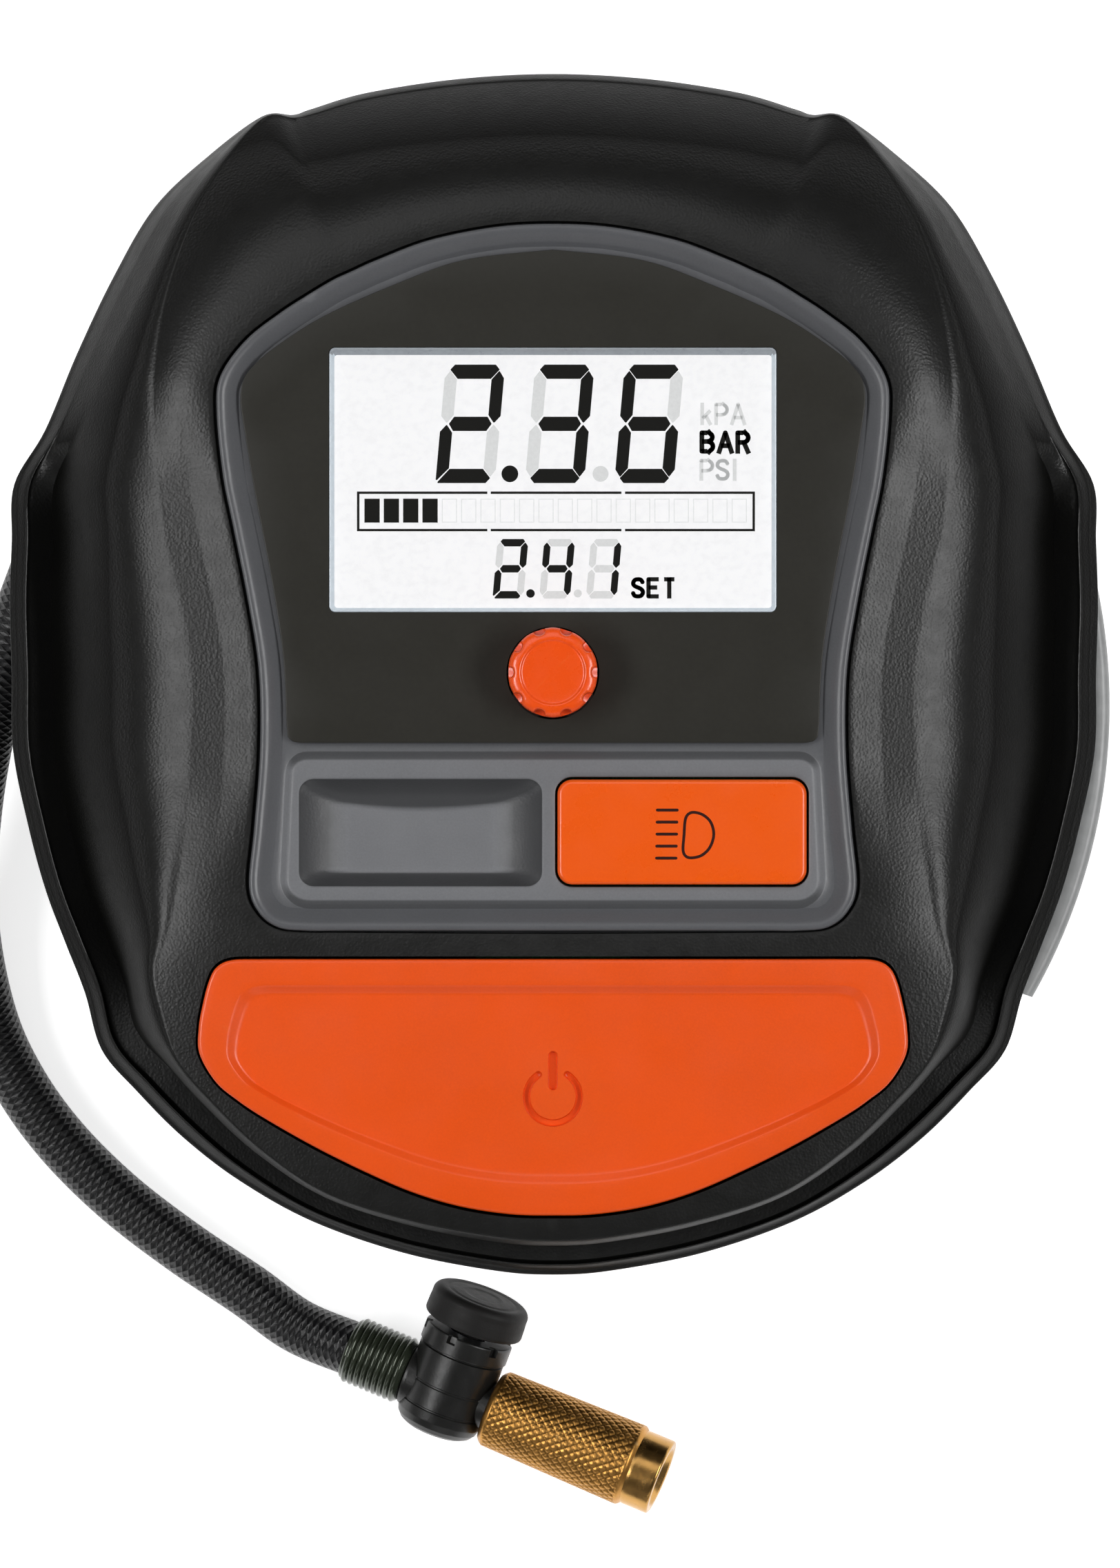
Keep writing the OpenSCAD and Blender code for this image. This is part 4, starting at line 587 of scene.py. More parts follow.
def tube(path, diameter, sides, reference=(0, 0, 1)):
    """A round tube along a path."""
    t = np.gradient(path, axis=0)
    t /= np.linalg.norm(t, axis=1, keepdims=True)
    side = np.cross(t, np.array(reference, float))
    side /= np.linalg.norm(side, axis=1, keepdims=True)
    up = np.cross(side, t)
    a = angles(sides)
    across = side[:, None, :] * np.cos(a)[None, :, None] + up[:, None, :] * np.sin(a)[None, :, None]
    return loft(path[:, None, :] + diameter / 2 * across, caps=BOTH)


def along(path, sides):
    """The tube's own coordinates at each corner of its faces: millimetres along it, and turns round it."""
    s, corners = lengths(path), ((0, 0), (0, 1), (1, 1), (1, 0))
    uv = [(s[i + di], (k + dk) / sides) for i in range(len(path) - 1) for k in range(sides) for di, dk in corners]
    return uv + [(0, 0)] * (2 * sides)


HOSE_SIDES = 40
me = mesh_data("air_hose_braided", *tube(hose_path, HOSE_D, HOSE_SIDES))
layer = me.uv_layers.new(name="along")
layer.data.foreach_set("uv", np.asarray(along(hose_path, HOSE_SIDES), dtype=np.float32).ravel())
hose = dress("air_hose_braided", me, ["braided_hose"], "housing", "air_hose", 60)

# ---------------------------------------------------------------- the chuck, in its own frame
ALONG = chuck_frame @ Matrix.Rotation(radians(90), 4, "Y")
ACROSS = chuck_frame @ Matrix.Translation((STEM_X, 0, 0)) @ Matrix.Rotation(radians(-90), 4, "X")
ACROSS_DIR = tuple(ACROSS.to_3x3() @ Vector((0, 0, 1)))
COLLAR_Y, COLLAR_L, CAP_L = 7.0, 3.2, 5.2
CAP_Y = COLLAR_Y + COLLAR_L + 1.3


def ferrule():
    ribs = 9
    pitch = (FERRULE_L - 1) / ribs
    r, low = FERRULE_D / 2, FERRULE_D / 2 - 0.5
    p = [(2.0, 0.6), (HOSE_D / 2 - 0.4, 0.3), (low - 0.25, 0), (low, 0.22)]
    for i in range(ribs):
        z = 0.5 + i * pitch
        p += [(low + (r - low) * sin(pi * t) ** 0.8, z + pitch * t) for t in (0.0, 0.12, 0.28, 0.5, 0.72, 0.88)]
    p += [(low, FERRULE_L - 0.35), (low - 0.3, FERRULE_L), (2.0, FERRULE_L)]
    return turned(p, 96, ALONG @ Matrix.Translation((0, 0, -HUB_L - FERRULE_L)))


def chuck_body():
    r, h, tip = CHUCK_D / 2, HUB_L, SLEEVE_X + 9
    body = turned([
        (0.4, COLLAR_Y), (r - 0.4, COLLAR_Y), (r - 0.4, COLLAR_Y - 0.3), (r - 0.05, COLLAR_Y - 0.45), (r, 3.4),
        (r, 1.3), (r - 0.14, 1.15), (r - 0.14, 0.95), (r, 0.8), (r, -2.6), (r - 0.16, -2.75), (r - 0.16, -2.95),
        (r, -3.1), (r - 0.1, -4.6), (r - 0.45, -5.7), (r - 1.1, -6.5), (r - 1.9, -6.95), (r - 2.8, -7.1), (0.4, -7.1),
    ], 96, ACROSS)
    neck = turned([(1.6, -h), (4.6, -h), (5.1, -h + 0.25), (5.2, -h + 0.6), (5.2, -1), (1.6, -1)], 64, ALONG)
    spigot = turned([(1.6, 0), (4.0, 0), (4.0, tip - 0.4), (3.7, tip), (1.6, tip)], 48, ALONG)
    return joined(body, neck, spigot, collar())


def collar():
    """The ring under the cap, with six notches cut in its upper edge."""
    a, low, top, r, deep = angles(240), COLLAR_Y, COLLAR_Y + COLLAR_L, CHUCK_D / 2 + 0.2, 0.9
    off = np.abs((a + pi / 6) % (pi / 3) - pi / 6) * r
    notch = np.clip((0.75 - off) / 0.12, 0, 1)
    rings = (
        (3.7, low - 1.8, 0), (3.7, low + 0.05, 0), (r - 0.12, low + 0.05, 0), (r, low + 0.18, 0), (r, low + 0.4, 0),
        (r, top - 1.35, 0), (r, top - 1.25, deep), (r, top - 0.4, deep), (r, top - 0.25, deep),
        (r - 0.06, top - 0.1, deep), (r - 0.2, top, deep), (r - 0.4, top, deep), (r - 1.3, top, 0), (3.9, top, 0),
        (3.7, top - 0.2, 0),
    )
    v, f = loft([ring(a, radius - depth * notch, z) for radius, z, depth in rings], ring=True)
    return placed(v, ACROSS @ Matrix.Rotation(radians(20), 4, "Z")), f


def release_cap():
    r, t = 8.25, CAP_Y + CAP_L
    p = [(0.01, 1.6), (2.3, 1.6), (2.5, 1.8), (2.5, CAP_Y), (r - 1.1, CAP_Y)]
    p += arc(r - 0.7, CAP_Y + 0.7, 0.7, -90, 0, 5) + [(r - 0.05, CAP_Y + 2.2), (r - 0.12, CAP_Y + 3.2)]
    p += arc(r - 1.5, t - 1.45, 1.4, 8, 84, 7)
    p += [(r - 1.9, t - 0.06), (r - 2.3, t - 0.20), (r - 2.6, t - 0.20), (r - 3.0, t - 0.05), (3.4, t), (3.0, t - 0.12)]
    return turned(p + [(2.6, t - 0.14), (0.01, t - 0.14)], 96, ACROSS)


ferrule_ob = mesh("hose_ferrule_ribbed", ferrule(), "hose_ferrule", "ferrule_dark", 50)
body_ob = mesh("chuck_t_body", chuck_body(), "chuck_body", "plastic_black", 42, mats=["chuck"])
cap_ob = mesh("air_release_cap", release_cap(), "bleed_cap", "plastic_black", 40, 0.0, "bleed_cap_body", ["cap"])

spring_low, spring_high = COLLAR_Y + COLLAR_L - 6 + 0.4, CAP_Y - 0.4
coil_turns = np.linspace(0, 4, 161)
coil = ring(2 * pi * coil_turns, 3.15, spring_low + (spring_high - spring_low) * coil_turns / 4)
spring = tube(placed(coil, ACROSS), 0.7, 10, ACROSS_DIR)
spring_ob = mesh("release_spring_coil", spring, "bleed_spring", "screw_steel", 60)

SLEEVE_L, NOSE_L, MOUTH_R = 25.5, 4.8, 3.05


def sleeve():
    """The knurled brass sleeve: real diamonds, cut as two crossing sets of grooves."""
    a, steps, grooves, l = angles(216), 150, 30, SLEEVE_L
    start, end = 0.9, l - 0.7
    knurl = []
    for i in range(steps + 1):
        z = start + (end - start) * i / steps
        base = 6.4 + 0.45 * z / l
        pitch = 2 * pi * base / grooves
        lead = 2 * pi * z / pitch * 0.86
        h = np.minimum(np.abs(np.sin((grooves * a + lead) / 2)), np.abs(np.sin((grooves * a - lead) / 2)))
        fade = min(1.0, (z - start) / 0.5, (end - z) / 0.5)
        knurl.append(ring(a, base - 0.22 * (1 - np.minimum(1, h * 1.9)) * max(0.0, fade), z))
    head = ((4.02, 9.0), (4.02, 0.25), (4.3, 0), (5.6, 0), (5.95, 0.3), (6.3, 0.72))
    tail = (
        (6.72, l - 0.45), (6.45, l - 0.15), (6.28, l), (6.22, l + 0.1), (MOUTH_R, l - 2.5), (MOUTH_R, 10.2),
        (4.02, 9.6),
    )
    return loft([ring(a, *q) for q in head] + knurl + [ring(a, *q) for q in tail], ring=True)


def nose():
    """The smooth end of the sleeve, with the thread inside its mouth."""
    l, n = SLEEVE_L, SLEEVE_L + NOSE_L
    p = [
        (MOUTH_R, l - 0.6), (6.2, l - 0.6), (6.26, l + 0.2), (6.30, l + 0.5), (6.30, n - 0.35), (6.18, n - 0.1),
        (5.95, n), (5.2, n), (4.95, n - 0.08), (3.95, n - 1.15),
    ]
    z = n - 1.3
    while z > n - 8.6:
        p += [(3.86, z), (3.98, z - 0.22), (3.86, z - 0.44)]
        z -= 0.62
    return turned(p + [(3.85, n - 9.0), (MOUTH_R, n - 9.2)], 96)


knurled, smooth = sleeve(), nose()
v, f = joined(knurled, smooth)
sleeve_ob = mesh(
    "chuck_sleeve_knurled", (placed(v, ALONG @ Matrix.Translation((0, 0, SLEEVE_X))), f), "chuck_sleeve", "brass", 55,
    0.0, "chuck_sleeve_body", ["brass_knurled", "brass"], [0] * len(knurled[1]) + [1] * len(smooth[1]),
)


def gland():
    p = [(1.6, 0), (5.5, 0), (5.7, 0.3), (5.7, 2.6), (5.45, 3.0)]
    for i in range(5):
        z, r = 3.2 + i * 1.7, 5.3 - 0.12 * i
        p += [(r, z), (r, z + 0.85), (r - 0.45, z + 1.05), (r - 0.45, z + 1.5)]
    return turned(p + [(4.75, 11.7), (4.7, 11.9), (4.55, 12), (1.6, 12)], 64, frame_at(gland_start, gland_dir))


gland_ob = mesh("hose_gland_ribbed", gland(), "hose_gland", "rubber_black", 45)

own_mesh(spring_ob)

# ---------------------------------------------------------------- the housing, from the CAD source's stations
# Each row: ridge foot x, y; edge x, y; the ridge's share of the way; its drop; then the lip's and the lamp's share
STATIONS = np.array([
    [0, 68.9, 0, 94.9, 0.94, 24.5, 0, 0], [9, 68.4, 15, 94.1, 0.94, 24.3, 0, 0],
    [19, 66.4, 29.5, 91.9, 0.94, 23.5, 0, 0], [27, 63.4, 38.3, 89.3, 0.94, 22, 0, 0],
    [31, 61.6, 41, 88.4, 0.95, 20.5, 0, 0], [34, 60.2, 46, 88.1, 0.95, 17.5, 0, 0],
    [38, 57.8, 54.5, 81.9, 0.84, 11, 0, 0], [42, 55.2, 63, 73.8, 0.7, 7.5, 0, 0],
    [47.3, 51, 69.5, 62.8, 0.57, 5, 0, 0], [51.2, 45.5, 75.3, 50.6, 0.43, 3.4, 0, 0],
    [51.8, 40, 80.3, 38.6, 0.35, 2.6, 0.1, 0.4], [50.8, 30, 85.2, 30, 0.3, 2.2, 0.7, 1],
    [49.2, 22, 85.6, 21, 0.3, 2, 1, 1], [47, 11, 85.9, 11, 0.27, 1.8, 1, 1],
    [45.3, 0, 85.6, 0, 0.26, 1.7, 1, 1], [45.1, -12, 85.4, -12, 0.27, 1.7, 1, 1],
    [46, -24, 83, -24, 0.29, 1.7, 1, 1], [46.8, -33, 80.3, -34, 0.34, 1.7, 1, 1],
    [45.3, -37.2, 77.2, -42.3, 0.44, 1.9, 1, 1], [42.3, -39.5, 74, -50.5, 0.6, 2, 0.9, 1],
    [38, -40, 71.4, -59.4, 0.66, 2.1, 0.8, 0.5], [33, -40, 65.8, -66, 0.76, 2.5, 0.8, 0],
    [27, -40, 58.5, -73.3, 0.8, 2.9, 0.8, 0], [20.5, -40, 49.5, -80.2, 0.84, 3.3, 0.8, 0],
    [14, -40, 38, -86.6, 0.87, 3.8, 0.8, 0], [7.5, -40, 23.5, -91.6, 0.87, 4.3, 0.8, 0],
    [3, -40, 9, -94.4, 0.87, 4.7, 0.8, 0], [0, -40, 0, -95, 0.87, 4.9, 0.8, 0],
])
STEPS = 8
FLIP = np.array([-1, 1, -1, 1, 1, 1, 1, 1.0])


def station_rows():
    """The stations drawn out to a smooth closed set; the lamp is on the right side only."""
    n = len(STATIONS) - 1

    def at(i):
        return STATIONS[-i] * FLIP if i < 0 else STATIONS[2 * n - i] * FLIP if i > n else STATIONS[i]

    half = [spline(at(i - 1), at(i), at(i + 1), at(i + 2), k / STEPS) for i in range(n) for k in range(STEPS)]
    half.append(STATIONS[n])
    return np.array(half + [r * FLIP * [1, 1, 1, 1, 1, 1, 1, 0] for r in half[-2:0:-1]])


ROWS = station_rows()
B, H = ROWS[:, 0:2], ROWS[:, 2:4]
SHARE, DROP, LIP, LAMP = (ROWS[:, k:k + 1] for k in (4, 5, 6, 7))
OUT = (H - B) / np.linalg.norm(H - B, axis=1, keepdims=True)
RIDGE = B + (H - B) * SHARE
SPAN = np.linalg.norm(H - RIDGE, axis=1, keepdims=True)
TOP, EDGE_Z, VALLEY_Z, LIP_Z, FRAME_Z, FACE_Z = 76.0, 46.5, 47.2, 50.0, 75.7, 75.0
GROOVE_FLOOR, GROOVE_ROOF, DRUM_R, FLANGE_R, WALL, FOOT_H = 19.0, 33.0, 69.0, 66.0, 2.2, 1.5
BEZEL_GAP, SIDE_POWER = 0.4, 1.6


def inside(d):
    return H - d * OUT


def inner_line(d, z):
    return with_z(inside(d), z)


def smooth_window(y, a, b, soft):
    return np.clip((y - a) / soft, 0, 1) * np.clip((b - y) / soft, 0, 1)


FACET = smooth_window(RIDGE[:, 1:2], -32, 46, 16)[:, 0]    # 1 beside the display, 0 before and behind it
DROP, LIP, LAMP, SPAN = DROP[:, 0] + 0.7 * FACET, LIP[:, 0], LAMP[:, 0], SPAN[:, 0]


def side_z(t):
    return mixed(TOP - DROP, EDGE_Z, np.clip(t, 0, 1) ** SIDE_POWER)


def side_line(d, z):
    """A line d inside the edge: on the plain side, or at height z where there is a lip."""
    return with_z(inside(np.reshape(d, (-1, 1))), mixed(side_z(1 - d / SPAN), z, LIP))


def top_point(t):
    xy = mixed(B, RIDGE, t) + BEZEL_GAP * (1 - t) * OUT
    return with_z(xy, mixed(FRAME_Z, TOP - DROP, t ** (2.3 - 1.3 * FACET)))


VALLEY = side_line(np.minimum(6.6, 0.68 * SPAN), VALLEY_Z)
CREST = side_line(np.minimum(2.9, 0.31 * SPAN), LIP_Z)
LOWER = mixed(4.0, 6.2, LAMP)[:, None]
ROUND = inside(4.0) / np.linalg.norm(inside(4.0), axis=1, keepdims=True)


def side_point(t):
    """A line of the flank outside the ridge, hollowed a little beside the ridge."""
    hollow = 0.9 * sin(2 * pi * t) * (1 - 2 * t) if t < 0.5 else 0.0
    z = mixed(TOP - DROP, VALLEY[:, 2], t ** (SIDE_POWER + 0.5 * LIP)) - hollow * FACET
    return with_z(mixed(RIDGE, VALLEY[:, :2], t), z)


def cover_profile():
    """Loops of the cover, one per profile point, from the display opening out and under to the drum."""
    opening = top_point(0.0)
    loops = [
        with_z(opening, FRAME_Z - 2.8), with_z(opening, FRAME_Z - 0.35),
        with_z(opening[:, :2] + 0.1 * OUT, FRAME_Z - 0.1),
    ]
    for t in (0.03, 0.1, 0.2, 0.3, 0.4, 0.47, 0.49, 0.51, 0.53, 0.6, 0.68, 0.76, 0.84, 0.92, 0.97, 1.0):
        loops.append(top_point(t) - np.outer(0.25 * FACET * (1 - abs(2 * t - 1)), [0, 0, 1]))
    for t in (0.03, 0.08, 0.14, 0.2, 0.26, 0.32, 0.4, 0.48, 0.56, 0.64, 0.72, 0.8, 0.87, 0.94, 1.0):
        loops.append(side_point(t))
    loops += [mixed(VALLEY, CREST, t) for t in (0.12, 0.4, 0.7)]
    roof, wall = GROOVE_ROOF, GROOVE_ROOF + WALL
    keys = [
        VALLEY, mixed(VALLEY, CREST, 0.85), side_line(np.minimum(2.9, 0.31 * SPAN) - 0.3, CREST[:, 2] + 0.1),
        side_line(1.0, EDGE_Z + 1.4), with_z(H, EDGE_Z),
        inner_line(mixed(1.0, 6.2, LAMP)[:, None], mixed(EDGE_Z - 4.5, EDGE_Z - 0.7, LAMP)),
        inner_line(LOWER, roof + 1.0), inner_line(LOWER, roof - 6),
    ]
    for i in range(1, len(keys) - 2):
        loops += [spline(*keys[i - 1:i + 3], k / 6) for k in range(6)]
    loops += [
        inner_line(LOWER, roof + 0.5), inner_line(LOWER + 0.15, roof + 0.12), inner_line(LOWER + 0.5, roof),
        with_z(FLANGE_R * ROUND, roof), with_z(FLANGE_R * ROUND, wall), inner_line(LOWER + WALL, wall),
        inner_line(6.2 + WALL + 0.3, EDGE_Z - 3.5),
    ]
    for p in (side_point(0.8), side_point(0.4), top_point(1.0)):
        loops.append(with_z(p[:, :2] - WALL * OUT, p[:, 2] - 2))
    p = top_point(0.5)
    loops.append(with_z(p[:, :2] - WALL / 3 * OUT, p[:, 2] - WALL))
    return np.array(loops)


start_half = np.array([
    (0, -44.4), (12, -44.4), (24, -44.4), (36, -44.4), (45, -44.4), (49.6, -44.55), (51.9, -45.7), (53.1, -48),
    (54.0, -51.5), (54.6, -55), (54.5, -59), (52, -63.4), (48.6, -66.3), (44.9, -68.8), (37.3, -73.2),
    (29.6, -77.1), (21.9, -80.5), (14.3, -82.8), (6.6, -84), (0, -84.2),
])
start_line = curve(np.vstack([start_half, start_half[-2:0:-1] * [-1, 1]]), 8, closed=True)

shape = loft(cover_profile().transpose(1, 0, 2), ring=True)
cover = mesh("front_cover_grained", shape, "front_cover", "housing_black", 32, mats=["cover"])
button_well = grown(start_line, 0.42)
cut(cover, skin((button_well, 60), (button_well, 90), caps=BOTH), 32)

DRUM_LINE, DRUM_EDGE, PLATE_T = (DRUM_R + 0.5) * ROUND, DRUM_R + 0.6, 2.5


def base_profile():
    profile = ((8.4, FOOT_H + 1.3), (6.4, FOOT_H + 5), (5.2, FOOT_H + 11), (4.6, GROOVE_FLOOR))
    keys = [inner_line(*q) for q in profile]
    loops = [with_z(DRUM_LINE, FOOT_H), inner_line(12.0, FOOT_H)]
    loops += [inner_line(11.0, FOOT_H + 0.06), inner_line(9.8, FOOT_H + 0.5)]
    for i in range(3):
        q = [keys[max(i - 1, 0)], keys[i], keys[i + 1], keys[min(i + 2, 3)]]
        loops += [spline(*q, k / 5) for k in range(5)]
    floor, low = GROOVE_FLOOR, GROOVE_FLOOR - WALL
    loops += [inner_line(4.62, floor - 0.4), inner_line(4.72, floor - 0.12), inner_line(5.0, floor)]
    loops += [with_z(FLANGE_R * ROUND, floor), with_z(FLANGE_R * ROUND, low), inner_line(5 + WALL, low)]
    inner = FOOT_H + WALL + 0.3
    loops += [inner_line(7.6 + WALL, FOOT_H + 6), inner_line(10 + WALL, inner), with_z(DRUM_LINE, inner)]
    return np.array(loops)


def spots(radius, degrees):
    return [(radius * cos(radians(a)), radius * sin(radians(a))) for a in degrees]


screw_spots = spots(63, (15, 50, 115, 145, 250, 305))
foot_spots = spots(64, (32.5, 130, 220, 325))

shape = loft(base_profile().transpose(1, 0, 2), ring=True)
shell = mesh("base_shell_moulded", shape, "base_shell", "housing_black", 34)
v, f = skin((circle(0, 0, 4.5), 0), (circle(0, 0, 4.5), 14), caps=BOTH)
cut(shell, (placed(v, frame_at((0, 81, FOOT_H + 9.5), (0, 1, 0))), f), 34)


def floor_plate():
    """The floor of the base: a plate with a moulded ring and the wells of its screws."""
    z, top = FOOT_H, FOOT_H + PLATE_T
    outer, r0, r1 = circle(0, 0, DRUM_EDGE, 180), circle(0, 0, 45.0, 160), circle(0, 0, 47.0, 160)
    parts = [
        filled(outer, [circle(x, y, 3.7, 32) for x, y in screw_spots] + [r1], 6.0, z), filled(r0, [], 8.0, z),
        skin((r1, z), (circle(0, 0, 46.8, 160), z + 0.5), (circle(0, 0, 45.2, 160), z + 0.5), (r0, z)),
        filled(outer, [circle(x, y, 4.0, 32) for x, y in screw_spots], 8.0, top), skin((outer, z), (outer, top)),
    ]
    well = (
        (3.7, z), (3.6, z + 0.2), (3.6, z + 3.2), (2.0, z + 3.2), (2.0, GROOVE_FLOOR - 0.1), (4.0, GROOVE_FLOOR - 0.1),
        (4.0, top),
    )
    parts += [skin(*[(circle(x, y, r, 32), h) for r, h in well]) for x, y in screw_spots]
    return joined(*parts)


def screw(x, y):
    """A countersunk pan head with a cross recess, seen from below, and its shank."""
    low, w, l, n = FOOT_H + 0.8, 0.55, 1.9, 40
    cross = [(w, w), (w, l), (-w, l), (-w, w), (-l, w), (-l, -w), (-w, -w), (-w, -l), (w, -l), (w, -w), (l, -w), (l, w)]
    edge = rounded(cross, 0.18, 2)

    def dome(p):
        return low + 0.02 * (p[:, 0] ** 2 + p[:, 1] ** 2)

    head = (
        (2.9, low + 0.17), (3.3, low + 0.4), (3.5, low + 0.8), (3.5, low + 2.0), (1.75, low + 2.2),
        (1.75, GROOVE_ROOF + 8), (0.4, GROOVE_ROOF + 9),
    )
    v, f = joined(
        filled(circle(0, 0, 2.9, n), [edge], 1.0, dome),
        skin(*[(circle(0, 0, r, n), z) for r, z in head], caps=TOP_END),
        skin((edge, dome(edge)), (edge * 0.6, low + 1.0), caps=TOP_END),
    )
    return v + [x, y, 0], f


foot = [
    (0.01, 0), (4.6, 0), (4.8, 0.35), (5.4, 0.35), (5.6, 0), (6.5, 0), (6.85, 0.15), (7.0, 0.5), (7.0, 1.5),
    (0.01, 1.5),
]
grommet = [
    (3.0, 0), (4.9, 0), (4.9, 1.4), (4.4, 1.6), (4.4, 7.6), (5.7, 7.6), (6.0, 7.9), (6.0, 9.2), (5.6, 9.6), (3.5, 9.6),
    (3.0, 9.2),
]
feet = joined(*[turned(foot, 64, Matrix.Translation((x, y, 0))) for x, y in foot_spots])
screws = joined(*[screw(x, y) for x, y in screw_spots])
cable_entry = turned(grommet, 64, frame_at((0, 82.5, FOOT_H + 9.5), (0, 1, 0)))
mesh("base_floor_plate", floor_plate(), "base_shell", "housing_black", 34, 0.002)
mesh("rubber_feet_ringed", feet, "rubber_feet", "rubber_black", 40)
mesh("housing_screws_cross", screws, "housing_screws", "screw_steel", 35, 0.002)
mesh("cable_grommet_moulded", cable_entry, "cable_grommet", "rubber_black", 40)


def lens():
    """The lamp's lens: a shell round the right side, from wall to wall, bowed to one radius, solid at its two ends."""
    idx = np.unique(np.linspace(11 * STEPS, 19 * STEPS, 110).round().astype(int))
    ends = (idx[0], idx[1], idx[-2], idx[-1])
    centre, rad, edge_r, rows = np.array([-4.8, -5.0]), 93.0, 1.4, []
    z0, z1 = GROOVE_ROOF + 0.6, EDGE_Z - 0.9
    for i in idx:
        d = OUT[i]
        wall = H[i] - (LOWER[i] - 0.3) * d
        q = wall - centre
        b = float(q @ d)
        s = max(-b + math.sqrt(max(b * b - float(q @ q) + rad * rad, 0.0)), 0.25)
        e = min(edge_r, 0.8 * s)
        t = max(s if i in ends else min(1.8, 0.6 * s), 0.1)
        inner, reach = wall + d * 0.02, wall + d * s
        round_edge = [(reach - d * e + d * e * cos(radians(a)), edge_r * sin(radians(a))) for a in range(90, -91, -15)]
        rim = [(inner, z1)] + [(p, z1 - edge_r + z) for p, z in round_edge[:7]] + [(reach, (z0 + z1) / 2)]
        rim += [(p, z0 + edge_r + z) for p, z in round_edge[6:]] + [(inner, z0), (inner, z0 + 1.5)]
        rim += [(reach - d * t, z0 + 1.8), (reach - d * t, z1 - 1.8), (inner, z1 - 1.5)]
        rows.append([(*p, z) for p, z in rim])
    return loft(rows, caps=BOTH)


mesh("lamp_lens_frosted", lens(), "lamp_lens", "lens_clear", 40)

# ---------------------------------------------------------------- display frame, panel and glass
BASE_Z, PANEL_TOP, LCD_TOP = FACE_Z - 5.4, FACE_Z + 1.2, FACE_Z + 0.3
KNOB = (0.0, -0.3)
LCD, LIGHT, RECESS = (0.0, 29.5, 69.0, 40.8), (19.9, -24.8, 38.4, 16.2), (-20.4, -24.9, 37.4, 16.4)
RIM_H, RIM_W, PLATEAU = 1.9, 3.4, 0.9
TABLE_Z = FACE_Z + PLATEAU
face_line = grown(B, -RIM_W)
plateau = rounded([(-41.2, -12.3), (41.2, -12.3), (42.4, -36.7), (-42.4, -36.7)], [3.4, 3.4, 4.6, 4.6], 10)
plateau = even(plateau[::-1], 240)
recess_line = rounded(rectangle(*RECESS), 2.3, 10)
knob_hole = circle(*KNOB, 7.15, 64)


def inset(box, d, r, steps):
    """A rounded rectangle d smaller than a box each way."""
    x, y, w, l = box
    return rounded(rectangle(x, y, w - d, l - d), r, steps)


lcd_hole, light_hole = inset(LCD, -1.2, 1.2, 6), inset(LIGHT, -0.7, 2.65, 10)


def dish(p):
    """The floor of the finger recess: steep at its upper edge, rising in a bow at its sides."""
    cx, cy, w, l = RECESS
    off = np.abs(p[:, 0] - cx)
    bow = 1 - 0.55 * np.clip(off / (w / 2), 0, 1) ** 2
    depth = 3.7
    for t in ((w / 2 - off) / 9.0, (cy + l / 2 - p[:, 1]) / (5.2 * bow), (p[:, 1] - cy + l / 2) / 2.4):
        depth = depth * (1 - (1 - np.clip(t, 0, 1)) ** 2)
    return TABLE_Z - 0.2 - depth


def frame_piece():
    rim_z, rim_foot, flange, cup_line = FACE_Z + RIM_H, BASE_Z + 1.8, grown(B, 2.2), grown(recess_line, 0.6)
    recess_top, light_top = grown(recess_line, 0.35), grown(light_hole, 0.22)
    rim = [
        (0, rim_z - 0.55), (-0.06, rim_z - 0.28), (-0.25, rim_z - 0.08), (-0.5, rim_z), (-0.9, rim_z - 0.04),
        (-1.4, rim_z - 0.3), (-1.9, rim_z - 0.72),
    ]
    slope = ((0, 0), (-0.2, 0.12), (-0.7, 0.48), (-1.15, 0.80), (-1.4, PLATEAU - 0.02), (-1.55, PLATEAU))
    outside = skin(
        (flange, BASE_Z), (flange, rim_foot), (B, rim_foot), *[(grown(B, d), z) for d, z in rim], (face_line, FACE_Z))
    face = filled(face_line, [lcd_hole, knob_hole, plateau], 7.0, FACE_Z)
    bowl = filled(recess_line, [], 0.55, dish)
    parts = [
        outside, face, skin(*[(grown(plateau, d), FACE_Z + z) for d, z in slope]),
        filled(grown(plateau, -1.55), [recess_top, light_top], 5.0, TABLE_Z),
        skin((recess_top, TABLE_Z), (grown(recess_line, 0.1), TABLE_Z - 0.06), (recess_line, TABLE_Z - 0.2)),
        skin((light_top, TABLE_Z), (grown(light_hole, 0.06), TABLE_Z - 0.06), (light_hole, TABLE_Z - 0.22),
             (light_hole, BASE_Z)),
        bowl, skin((lcd_hole, FACE_Z), (lcd_hole, BASE_Z)), skin((knob_hole, FACE_Z), (knob_hole, BASE_Z)),
        filled(flange, [lcd_hole, knob_hole, light_hole, cup_line], 8.0, BASE_Z),
        skin((cup_line, BASE_Z), (cup_line, FACE_Z - 3.6), caps=TOP_END),
    ]
    v, f = joined(*parts)
    # The rim and the face round the panel take the darker frame grey as painted shade; the recess bowl takes the recess
    # finish with painted shade on its walls.
    return (v, f), [1 if p is outside or p is face else 2 if p is bowl else 0 for p in parts for _ in p[1]]


shape, ids = frame_piece()
frame_mats = ["frame_grey", "bezel_rim", "bezel_recess"]
mesh("display_frame_rimmed", shape, "bezel_frame", "frame_grey", 38, 0.003, "housing", frame_mats, ids)

post = [(1.0, 66), (2.8, 66), (3.0, 66.2), (3.0, BASE_Z), (1.0, BASE_Z)]
post_spots = ((-31, 54), (31, 54), (-36, -10), (36, -10))
posts = joined(*[turned(post, 32, Matrix.Translation((x, y, 0))) for x, y in post_spots])
mesh("display_frame_posts", posts, "bezel_frame", "frame_grey")

